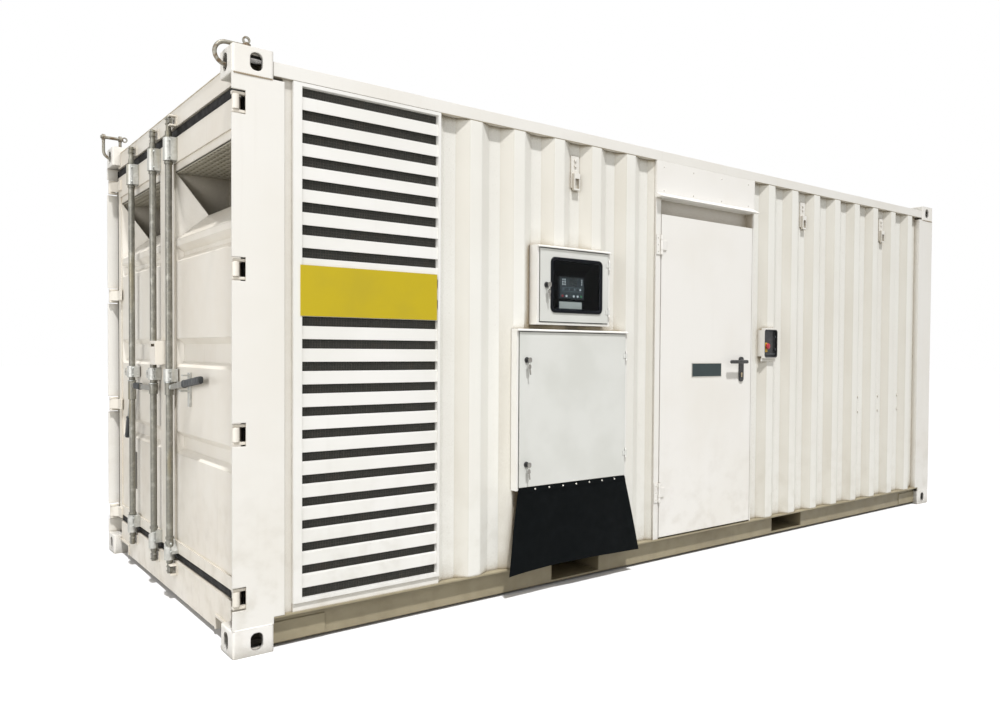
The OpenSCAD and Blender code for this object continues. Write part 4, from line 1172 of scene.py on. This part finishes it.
@dataclass(frozen=True)
class PersonnelDoor:
    """Rivets of the head panel, seal, hinge screws, plate border, rose and cylinder."""

    rivet_x: tuple[float, ...] = (2625.0, 2898.0, 3178.0, 3461.0)
    rivet_z: tuple[float, ...] = (2310.0, 2456.0)
    hinge_z: tuple[float, ...] = (440.0, 1975.0)
    leaf_x: Pair = (2611.0, 3514.0)
    leaf_z: Pair = (160.0, 2166.0)
    stop_in: float = 65.0
    head_in: float = 5.0
    hinge_x: float = 2581.0
    hinge_in: float = 6.0
    plate_at: Pair = (3051.5, 1200.0)
    plate_size: Pair = (295.0, 90.0)
    handle_x: float = 3405.0
    spindle_z: float = 1253.0
    cylinder_z: float = 1172.0
    rose_z: float = 1202.0
    rose_size: Pair = (47.0, 167.0)
    lever: Pair = (-165.0, 21.0)

    def fixings(self) -> Form:
        """Blind rivets on the head panel and screws on the fixed hinge plates."""
        head = [rivet(5.5, 2.2).on_near(x, self.head_in, z)
                for x in self.rivet_x for z in self.rivet_z]
        screws = [rivet(5, 1.5).on_near(self.hinge_x, self.hinge_in, z + dz)
                  for z in self.hinge_z for dz in (-42, 0, 42)]
        return joined(*head, *screws)

    def seal(self) -> Form:
        """Hollow seal on the door stop: a rounded outline stepped in and out."""
        (x0, x1), (z0, z1) = self.leaf_x, self.leaf_z
        outline = rounded(x1 - x0 - 6, z1 - z0 - 20, 6, 3)
        section = [(0, 0), (0, 2.5), (2, 4), (9, 4), (11, 2.5), (11, 0)]
        form = layered(outline, section, True)
        return form.on_near((x0 + x1) / 2, self.stop_in, (z0 + z1) / 2 + 6)

    def border(self) -> Form:
        """Narrow pale border printed round the dark plate."""
        outline = rounded(*self.plate_size, 1.0, 3)
        form = layered(outline, [(0, -0.3), (0, 0.3), (3.2, 0.3), (3.2, -0.3)], True)
        return form.on_near(self.plate_at[0], 6, self.plate_at[1])

    def rose(self) -> Form:
        """Rose round the spindle, and a raised rim along the handle plate's edge."""
        collar = turned([(17.5, -0.5), (17.5, 3), (15.5, 5), (9, 5.4)], 28)
        rim = layered(rounded(*self.rose_size, 20, 9),
                      [(0, -2), (0.4, 0.2), (1.6, 0.9), (3.0, 0.2), (3.2, -2)], True)
        return joined(collar.on_near(self.handle_x, 0, self.spindle_z),
                      rim.on_near(self.handle_x, 0, self.rose_z))

    def cylinder(self) -> Form:
        """Profile cylinder's end: an arc of radius 8.5 over a tongue of half width 5."""
        top = arc(8.5, np.radians(np.linspace(-54, 234, 13)))
        tongue = arc(5, np.radians(np.linspace(180, 360, 7))) + [0, -19]
        face = prism(np.concatenate([top, tongue]), 3.2, 0.5)
        return face.on_near(self.handle_x, 0.2, self.cylinder_z)

    def handle(self) -> Form:
        """Lever and its neck: a soft oval bar along the lever, its outline drawn in at
        both ends by a quarter circle, and a turned neck that swells towards the bar."""
        start, end = self.lever
        steps = []
        for angle in np.radians(np.linspace(8, 90, 7)):
            inwards, ahead = 8 * (1 - math.sin(angle)), 1 - math.cos(angle)
            steps += [(inwards, start + 12 * ahead), (inwards, end - 10 * ahead)]
        steps = sorted(steps, key=lambda step: step[1])
        bar = layered(rounded(17, 24, 8.3, 6), steps)
        neck = turned([(9.5, 2), (8.6, 8), (8.6, 22), (10.5, 28), (10, 36)], 24)
        return joined(bar.at(near(self.handle_x, -37, self.spindle_z), Facing.ALONG),
                      neck.on_near(self.handle_x, 0, self.spindle_z))

    def dress(self) -> None:
        """Makes the pieces; the leaf's own ride on the leaf."""
        leaf, plastic = "personnel_door", "black_plastic"
        piece("door_rivets", self.fixings(), NICKEL, "container", "frame_paint")
        piece("door_seal", self.seal(), SEAL_RUBBER, "container", "gasket")
        piece("door_plate_border", self.border(), PALE_FILM, leaf, "teal_plate")
        piece("handle_rose", self.rose(), BLACK, leaf, plastic)
        piece("lock_cylinder", self.cylinder(), BRASS, leaf, "galvanised")
        slit = plate(2.0, 8.0, 0.6, 0.2, 0.9)
        slit = slit.on_near(self.handle_x, -2.8, self.cylinder_z)
        piece("lock_keyway", slit, BLACK, leaf, plastic)
        lever = piece("door_lever", self.handle(), BLACK, "door_handle", plastic, 50)
        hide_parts("personnel_door_handle")


@dataclass(frozen=True)
class KeyLocks:
    """Round cam locks of a cabinet door with the key left in and a spare on its ring."""

    name: str
    body: str
    places: tuple[Pair, ...]
    face: float = -40.0
    swing: float = 7.0

    def barrel(self) -> Form:
        """Round escutcheon over the barrel."""
        return turned([(15, -0.4), (15.5, 0.6), (15.2, 4), (13.6, 6.6), (9, 7.2)], 24)

    def key(self) -> Form:
        """Key in the lock: blade and rounded bow over the solid's."""
        blade = layered(rounded(4, 10, 1, 2), [(0, 6), (0, 28)])
        bow = layered(rounded(23, 27, 8.5, 5), [(1, 27.6), (0, 28.2), (0, 31), (1, 31.5)])
        return joined(blade, bow)

    def spare(self) -> Form:
        """Split ring and the spare key that hangs from it, a little askew."""
        loop = np.column_stack([np.zeros(20), ring(8, 20)])
        split = carried(ring(1.2, 6), loop + [0, -18.5, 24], (1, 0, 0), True)
        bow = layered(rounded(21, 24, 8, 4), [(0.6, 0), (0, 0.6), (0, 2), (0.6, 2.6)])
        blade = layered(rounded(8, 34, 1.5, 2), [(0, 0.5), (0, 2.1)])
        hung = joined(bow.at(np.array([0, -12, 0])), blade.at(np.array([1, -38, 0])))
        return joined(split, hung.turned(2, self.swing).at(np.array([0, -24, 22.5])))

    def dress(self) -> None:
        """Makes the pieces of every lock on this door."""
        for part, form, finish, slot in (
                ("lock_rings", self.barrel(), BLACK, "black_plastic"),
                ("keys", self.key(), KEY_STEEL, "galvanised"),
                ("spare_keys", self.spare(), KEY_STEEL, "galvanised")):
            made = joined(*[form.on_near(x, self.face, z) for x, z in self.places])
            piece(f"{self.name}_{part}", made, finish, self.body, slot)


@dataclass(frozen=True)
class ControlBox:
    """Window and controller of the control box."""

    window_at: Pair = (1878.0, 1678.0)
    window_size: Pair = (381.0, 303.0)
    window_round: float = 30.0
    face: float = -40.0
    backing_at: Point = (1866.0, 22.0, 1674.5)
    backing_size: Pair = (486.0, 386.0)
    panel_at: Pair = (1880.5, 1670.5)
    panel_front: float = 8.0
    panel_size: Pair = (176.0, 116.0)
    screen_at: Pair = (11.0, 33.0)
    label_at: Point = (1880.0, 16.0, 1574.0)
    label_size: Pair = (166.0, 38.0)

    def frame(self) -> Form:
        """Clamping rubber: the window's outline swept through a soft round section."""
        outline = rounded(*self.window_size, self.window_round, 8)
        section = [(1, 0), (0, 1), (0.2, 4), (2, 6.2), (6, 7), (11, 6.6), (15.5, 5),
                   (17.5, 2.6), (18, 0), (19.5, -1), (19.5, -5), (16, -5), (16, -0.5)]
        form = layered(outline, section, True)
        return form.on_near(self.window_at[0], self.face, self.window_at[1])

    def pane(self) -> Form:
        """Clear pane held by the rubber."""
        width, height = self.window_size
        form = layered(rounded(width - 33, height - 33, 14, 6), [(0, 0.4), (0, 3.4)])
        return form.on_near(self.window_at[0], self.face, self.window_at[1])

    def on_panel(self, form: Form, x: float, z: float, lift: float = 0.0) -> Form:
        """A form set on the controller's face, from its middle, lifted off it."""
        x, z = x + self.panel_at[0], z + self.panel_at[1]
        return form.on_near(x, self.panel_front - lift, z)

    def buttons(self, *places: Point) -> Form:
        """Low push buttons, soft-edged and shallowly dished.

        Args:
            places: for each, its place across and up from the middle, and its radius.

        Returns:
            The buttons as one form.
        """
        made = []
        for x, z, r in places:
            form = turned([(r, -0.5), (r, 1.6), (r - 0.8, 2.4), (r * 0.5, 2.0)], 14)
            made.append(self.on_panel(form, x, z, 3))
        return joined(*made)

    def controller(self) -> None:
        """Makes the controller: the black plate it is mounted on, bezel, screen, bar,
        rows of buttons, and the printed plate under it."""
        bezel = layered(rounded(*self.panel_size, 6, 4), [(0, -0.5), (0, 2), (1.2, 3)])
        rim = layered(rounded(56, 46, 3, 3),
                      [(0, 2.5), (0, 4.2), (3, 4.6), (4.5, 3.2), (4.5, 2.5)], True)
        bar = layered(rounded(141, 24, 3, 3),
                      [(0, 2.6), (0, 3.6), (2.2, 3.6), (2.2, 2.6)], True)
        keys = [(x, z, 4.6) for x in (-68, -52) for z in (19, 32, 45)]
        keys += [(72, z, 3.6) for z in (22, 34, 46)]
        keys += [(-41, -46, 6.5), (13, -46, 6.5), (42, -46, 6.5), (61, -8, 5.0)]
        dull = [(x, -8, 5.0) for x in (-62, -20, 20)]
        backing = plate(*self.backing_size, 2.0, 0.3, 4).on_near(*self.backing_at)
        screen = plate(48, 38, 3.4, 0.2, 1)
        label = plate(*self.label_size, 1.2, 0.3, 1.5).on_near(*self.label_at)
        for part, form, finish in (
                ("backing", backing, BACKING),
                ("front", self.on_panel(bezel, 0, 0), PANEL_GREY),
                ("screen_rim", self.on_panel(rim, *self.screen_at), BLACK),
                ("screen", self.on_panel(screen, *self.screen_at), SCREEN),
                ("bar", self.on_panel(bar, -2, -9), LEGEND),
                ("pale_keys", self.buttons(*keys), KEY_WHITE),
                ("dull_keys", self.buttons(*dull), LEGEND),
                ("red_key", self.buttons((-70, -46, 6.5)), RED),
                ("green_key", self.buttons((69, -46, 6.5)), GREEN),
                ("plate", label, PALE_FILM)):
            slot = "button_red" if finish is RED else "panel_dark"
            piece(f"controller_{part}", form, finish, "container", slot)

    def dress(self) -> None:
        """Makes the pieces."""
        frame_piece = piece("control_window_frame", self.frame(), FRAME_RUBBER,
                            "control_door", "window", 50)
        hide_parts("control_box_window")
        piece("control_window_pane", self.pane(), PANE, "control_door", "window")
        self.controller()


@dataclass(frozen=True)
class Skirt:
    """Rubber sheet hung under the power box: flared, gently waved, riveted at its top."""

    middle_x: float = 1871.0
    top_z: float = 585.0
    drop: float = 440.0
    half: Pair = (390.0, 480.0)
    drift: float = 14.0
    top_in: float = -36.0
    lean: float = 24.0
    thickness: float = 3.0
    band_drop: float = 26.0
    rivets: int = 7

    def at(self, u: np.ndarray, v: np.ndarray) -> np.ndarray:
        """Points of the sheet's back: u is -1..1 across and v is 0..1 down. The width
        grows and drifts, the sheet leans out by v, sines of u wave it by up to 7 mm, and
        its foot rises a little right of the low left corner."""
        half = self.half[0] + (self.half[1] - self.half[0]) * v ** 0.92
        x = self.middle_x + half * u + self.drift * v
        fall = self.drop * v * (1 - 0.016 * np.sin(2.6 * u + 1.6) * v)
        wave = 7 * v ** 1.6 * np.sin(5.2 * u + 0.8) + 3 * v * np.sin(11 * u + 2.0)
        s = self.top_in - self.lean * v ** 1.2 - wave * 0.5 - 2 * v
        corner = v ** 3 * (np.abs(u) ** 6)
        z = self.top_z - fall - 9 * corner * (u < 0)
        return np.stack([x + END_X, s + NEAR_Y + 4 * corner, z], -1)

    def grid(self, rows: np.ndarray, columns: int, lift: float) -> Form:
        """Sheet between the surface lifted off by lift, and that plus the thickness."""
        v, u = np.meshgrid(rows, np.linspace(-1, 1, columns), indexing="ij")
        back = self.at(u, v) - [0, lift, 0]
        return between(back - [0, self.thickness, 0], back)

    def dress(self) -> None:
        """Makes the sheet, its folded top band and the rivets."""
        looks = (SKIRT_RUBBER, "container", "skirt_rubber", 60)
        sheet = piece("skirt_sheet", self.grid(np.linspace(0, 1, 41), 81, 0), *looks)
        v = np.linspace(0.004, self.band_drop / self.drop, 5)
        band = piece("skirt_band", self.grid(v, 41, self.thickness + 0.1), *looks)
        at = np.linspace(-0.716, 0.781, self.rivets)
        spots = self.at(at, np.full(self.rivets, 0.025)) - [0, 2 * self.thickness, 0]
        heads = rivet(5.5, 2.6).at(np.zeros(3), Facing.NEAR).repeated(spots)
        dots = piece("skirt_rivets", heads, NICKEL, "container", "galvanised")
        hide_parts("rubber_skirt")


@dataclass(frozen=True)
class StopBox:
    """Lining, collar and cap of the emergency stop."""

    middle: Pair = (3707.0, 1379.0)
    mouth: Pair = (139.0, 187.0)
    mouth_round: float = 15.0
    button: Pair = (3673.0, 1360.0)
    strip_z: float = 1305.0
    clips: tuple[Pair, ...] = ((-60.0, 1426.0), (60.0, 1426.0), (60.0, 1338.0))

    def lining(self) -> Form:
        """Black moulded lining: the mouth's outline swept through a lipped section."""
        section = [(-3.5, 18), (-3.5, 19.6), (-2, 20.6), (-0.5, 20.6), (1.4, 19),
                   (1.6, 1.2), (0.1, 0.4), (0.1, 17.8)]
        form = layered(rounded(*self.mouth, self.mouth_round, 6), section, True)
        return form.on_near(self.middle[0], 0, self.middle[1])

    def floor(self) -> Form:
        """Lining's floor: a sheet from the mouth's outline to a ring round the button."""
        outline = inset(rounded(*self.mouth, self.mouth_round, 6), 0.4)
        middle = np.subtract(self.button, self.middle)
        angle = np.arctan2(outline[:, 1] - middle[1], outline[:, 0] - middle[0])
        hole = middle + arc(10, angle)
        rings = [raised(line, height) for line, height in
                 ((outline, 1.2), (hole, 1.2), (hole, 0.1), (outline, 0.1))]
        return loft(np.array(rings), True).on_near(self.middle[0], 0, self.middle[1])

    def collar(self) -> Form:
        """Yellow collar round the button, with the tab under it."""
        x, z = self.button
        collar = layered(ring(25, 28),
                         [(0, 1), (0, 5), (1.5, 6.5), (14.5, 6.5), (14.5, 1)], True)
        tab = layered(rounded(30, 18, 4, 3), [(0, 1), (0, 3), (0.8, 3.8)])
        return joined(collar.on_near(x, 0, z), tab.on_near(x, 0, z - 32))

    def inner(self) -> Form:
        """Grey strip, rim and clips on the lining's floor."""
        x, z = self.middle
        strip = plate(126, 13, 9, 2, 4)
        rim = layered(rounded(self.mouth[0] - 16, self.mouth[1] - 16, 12, 6),
                      [(0, 1), (0, 2.6), (0.8, 3.2), (2.2, 3.2), (3, 2.6), (3, 1)], True)
        clip = plate(7, 17, 15, 1.2, 2)
        return joined(strip.on_near(x, 0, self.strip_z), rim.on_near(x, 0, z),
                      *[clip.on_near(x + dx, 0, height) for dx, height in self.clips])

    def dress(self) -> None:
        """Makes the pieces; the cap rides on the button."""
        plastic, red = "black_plastic", "button_red"
        lining = joined(self.lining(), self.floor())
        piece("stop_lining", lining, BLACK, "container", plastic, 40)
        piece("stop_collar", self.collar(), YELLOW, "container", red)
        piece("stop_inner_parts", self.inner(), GREY, "container", plastic)
        cap = turned([(18, 15.5), (20.6, 16.5), (21.4, 19), (21.2, 22), (19.4, 25.2),
                      (15, 27.2), (8, 28.2), (0.3, 28.5)], 32)
        cap = cap.on_near(self.button[0], 2, self.button[1])
        piece("stop_cap", cap, RED, "emergency_button", red, 60)


@dataclass(frozen=True)
class CargoLeaf:
    """Air-inlet ceiling, hinge welds and sleeve bolts of one cargo door leaf."""

    name: str
    body: str
    far: bool
    bars: tuple[float, ...]
    inlet_e: Pair = (66.0, 341.0)
    inlet_y: Pair = (-1093.0, -139.0)
    ceiling_z: float = 2234.0
    slot: Pair = (16.0, 6.0)
    cell: Pair = (48.0, 30.0)
    sheet: float = 1.5
    edge_y: Pair = (-1182.0, -1.6)
    gap_z: Pair = (208.0, 2457.5)
    hinge_e: float = 54.5
    hinge_y: Pair = (72.0, 148.0)
    hinge_z: tuple[float, ...] = (253.0, 953.0, 1653.0, 2353.0)
    sleeve_e: float = 22.0
    sleeve_z: tuple[float, ...] = (258.0, 300.0, 1156.0, 1196.0, 2304.0, 2389.0)

    def own(self, form: Form) -> Form:
        """A form drawn for the near leaf, mirrored where this is the far one."""
        return form.mirrored(1) if self.far else form

    def ceiling(self) -> Form:
        """Slotted sheet: welded cells of eight quads between a rectangle and its slot."""
        (y0, y1), (e0, e1) = self.inlet_y, self.inlet_e
        count = round((y1 - y0) / self.cell[0]), round((e1 - e0) / self.cell[1])
        size = np.array([(y1 - y0) / count[0], (e1 - e0) / count[1]])
        corner = np.array([[1, 0], [1, 1], [0, 1], [-1, 1], [-1, 0], [-1, -1], [0, -1],
                           [1, -1]]) / 2
        eased = np.array([[1, .8, 1, .8, 1, .8, 1, .8]]).T
        cell = np.concatenate([corner * size, corner * np.array(self.slot) * eased])
        k = np.arange(8)
        quads = np.stack([k, np.roll(k, -1), np.roll(k, -1) + 8, k + 8], -1)
        local = np.column_stack([cell[:, 1], cell[:, 0], np.zeros(16)])
        y, e = np.meshgrid(np.arange(count[0]) + 0.5, np.arange(count[1]) + 0.5)
        places = np.column_stack([e.ravel() * size[1] + e0 + END_X,
                                  y.ravel() * size[0] + y0,
                                  np.full(e.size, self.ceiling_z)])
        return Form(local, (quads,)).repeated(places).welded()

    def back(self) -> Form:
        """Dark plate just above the slotted sheet: painted shade, seen through the slots
        in place of the inlet's shaded inside.
        """
        (y0, y1), (e0, e1) = self.inlet_y, self.inlet_e
        form = plate(y1 - y0, e1 - e0, 1.0, 0.2, 1).turned(2, 90)
        return self.own(form.at(door((e0 + e1) / 2, (y0 + y1) / 2, self.ceiling_z + 3)))

    def hinges(self) -> Form:
        """Fillet welds above and below each hinge blade where it lies on the leaf."""
        lines = [bead(*(door(self.hinge_e, NEAR_Y + y, z + dz) for y in self.hinge_y),
                      (-1, 0, 0), 3.5, 8)
                 for z in self.hinge_z for dz in (-32, 32)]
        return self.own(joined(*lines))

    def lips(self) -> Form:
        """Lips of the door seal just behind the leaf's face: rounded strips carried along
        the top, the foot and both upright edges."""
        (y0, y1), (z0, z1) = self.edge_y, self.gap_z
        strips = [((y0, z1 - 23.5), (y1, z1 - 23.5), 45),
                  ((y0, z0 + 17), (y1, z0 + 17), 34),
                  ((y1 - 4, z0), (y1 - 4, z1), 8), ((y0 + 12, z0), (y0 + 12, z1), 24)]
        steps = np.linspace(0, 1, 13)[:, None]
        made = []
        for start, end, width in strips:
            first, last = door(59.5, *start), door(59.5, *end)
            path = first + steps * (last - first)
            made.append(carried(rounded(width, 7, 3.4, 4), path, (1, 0, 0)))
        return self.own(joined(*made))

    def bolts(self) -> Form:
        """Hexagon bolts through both flanges of every bar sleeve."""
        head = hexagon_bolt(9.5, 6)
        return joined(*[head.at(door(self.sleeve_e, y + dy, z), Facing.DOOR_END)
                        for y in self.bars for dy in (-35, 35) for z in self.sleeve_z])

    def dress(self) -> None:
        """Makes the pieces."""
        name, body = self.name, self.body
        sheet = piece(f"{name}_inlet_ceiling", self.own(self.ceiling()), SHADED_SHEET_PAINT,
                      body, "wall_paint", 60)
        skin = sheet.modifiers.new("thickness", "SOLIDIFY")
        skin.thickness, skin.offset = self.sheet * MM, 0.0
        # Painted shade: a dark plate behind the slots.
        piece(f"{name}_inlet_shade_plate", self.back(), DARK_FILM, body, "dark_plate")
        piece(f"{name}_seal_lips", self.lips(), SEAL_RUBBER, body, "gasket", 50)
        piece(f"{name}_hinge_welds", self.hinges(), DOOR_PAINT, body, "frame_paint", 60)
        piece(f"{name}_sleeve_bolts", self.bolts(), ZINC_BOLT, body, "galvanised")


@dataclass(frozen=True)
class LockBar:
    """Grip, collars, hub bolt and cam welds of one lock bar, on its own turning axis."""

    name: str
    body: str
    y: float
    hub_z: float
    turn: float
    tip: float
    reach: float
    grip: float
    cam_z: Pair = (152.0, 2476.0)
    rise: float = 24.0
    collar_z: Pair = (318.0, 2270.0)
    axis_e: float = 22.0
    pivot_e: float = 16.0
    pivot_y: float = 44.0

    def on_bar(self, form: Form, z: float) -> Form:
        """A form set on the bar's turning axis at a height."""
        return form.at(door(self.axis_e, self.y, z))

    def handle(self, form: Form) -> Form:
        """A form drawn about the handle's own axis, tipped, turned and set at the hub."""
        form = form.at(np.zeros(3), Facing.ALONG).turned(1, self.tip).turned(2, self.turn)
        return self.on_bar(form, self.hub_z)

    def rubber(self) -> Form:
        """Pressed grip: the handle's rounded outline with end flanges and ten ribs."""
        start, end = self.reach - self.grip, self.reach
        steps = [(-1, start - 1), (-3, start + 0.5), (-3, start + 5), (-0.6, start + 7)]
        for rib in np.linspace(start + 14, end - 14, 10):
            steps += [(-0.6, rib - 3), (-1.5, rib - 1), (-1.5, rib + 1), (-0.6, rib + 3)]
        steps += [(-1.2, end - 5), (-0.8, end - 0.5), (3, end + 1)]
        return self.handle(layered(rounded(24, 34, 9, 4), steps))

    def collars(self) -> Form:
        """Stop collars on the bar and weld fillets round the neck at each cam."""
        collar = turned([(17.05, 0), (21, 1), (21, 13), (17.05, 14)], 24)
        fillet = turned([(13.05, -0.5), (18.5, -0.5), (16, 2), (13.05, 4.5)], 20)
        rings = [self.on_bar(collar, z) for z in self.collar_z]
        rings += [self.on_bar(fillet, z + self.rise) for z in self.cam_z]
        rings += [self.on_bar(fillet.mirrored(2), z) for z in self.cam_z]
        return joined(*rings)

    def pivot(self) -> Form:
        """Weld round the hub, and on a level handle its round-headed pivot bolt."""
        weld = turned([(22.05, 0), (24.5, 1.5), (24.5, 4.5), (22.05, 6)], 24)
        parts = [self.on_bar(weld, self.hub_z + self.rise)]
        if self.tip < 45:
            head = turned([(12, 0), (12, 1.5), (9.5, 2), (9.5, 4), (7, 5.6), (0.3, 6)],
                          20)
            across = math.copysign(self.pivot_y, self.turn)
            place = door(self.pivot_e, self.y + across, self.hub_z - self.tip / 1.5)
            parts.append(head.at(place, Facing.DOOR_END))
        return joined(*parts)

    def dress(self) -> None:
        """Makes the pieces."""
        name, body, zinc = self.name, self.body, "galvanised"
        piece(f"{name}_grip", self.rubber(), GRIP_RUBBER, body, "skirt_rubber", 50)
        piece(f"{name}_collars", self.collars(), ZINC, body, zinc)
        piece(f"{name}_pivot", self.pivot(), ZINC_BOLT, body, zinc)


def main() -> None:
    """Builds the scene in order."""
    logging.basicConfig(level=logging.INFO, format="%(name)s: %(message)s")
    bpy.context.scene.view_settings.view_transform = "Standard"
    Viewpoint().build()
    Studio().build()
    finish_nodes()
    FrameDressing().dress()
    LouvreMesh().dress()
    PersonnelDoor().dress()
    KeyLocks("control_door", "control_door", ((1659, 1675),)).dress()
    KeyLocks("power_door", "power_door", ((1528, 710), (1528, 1268))).dress()
    ControlBox().dress()
    Skirt().dress()
    StopBox().dress()
    CargoLeaf("near_leaf", "cargo_door_near", False, (-160.0,)).dress()
    CargoLeaf("far_leaf", "cargo_door_far", True, (160.0, 655.0)).dress()
    LockBar("near_bar", "lock_bar_near", -160, 1112, -90, -6, 545, 270).dress()
    LockBar("middle_bar", "lock_bar_middle", 160, 1095, 90, 0, 420, 120).dress()
    LockBar("outer_bar", "lock_bar_outer", 655, 1095, 90, 68, 345, 130).dress()


if __name__ == "__main__":
    main()
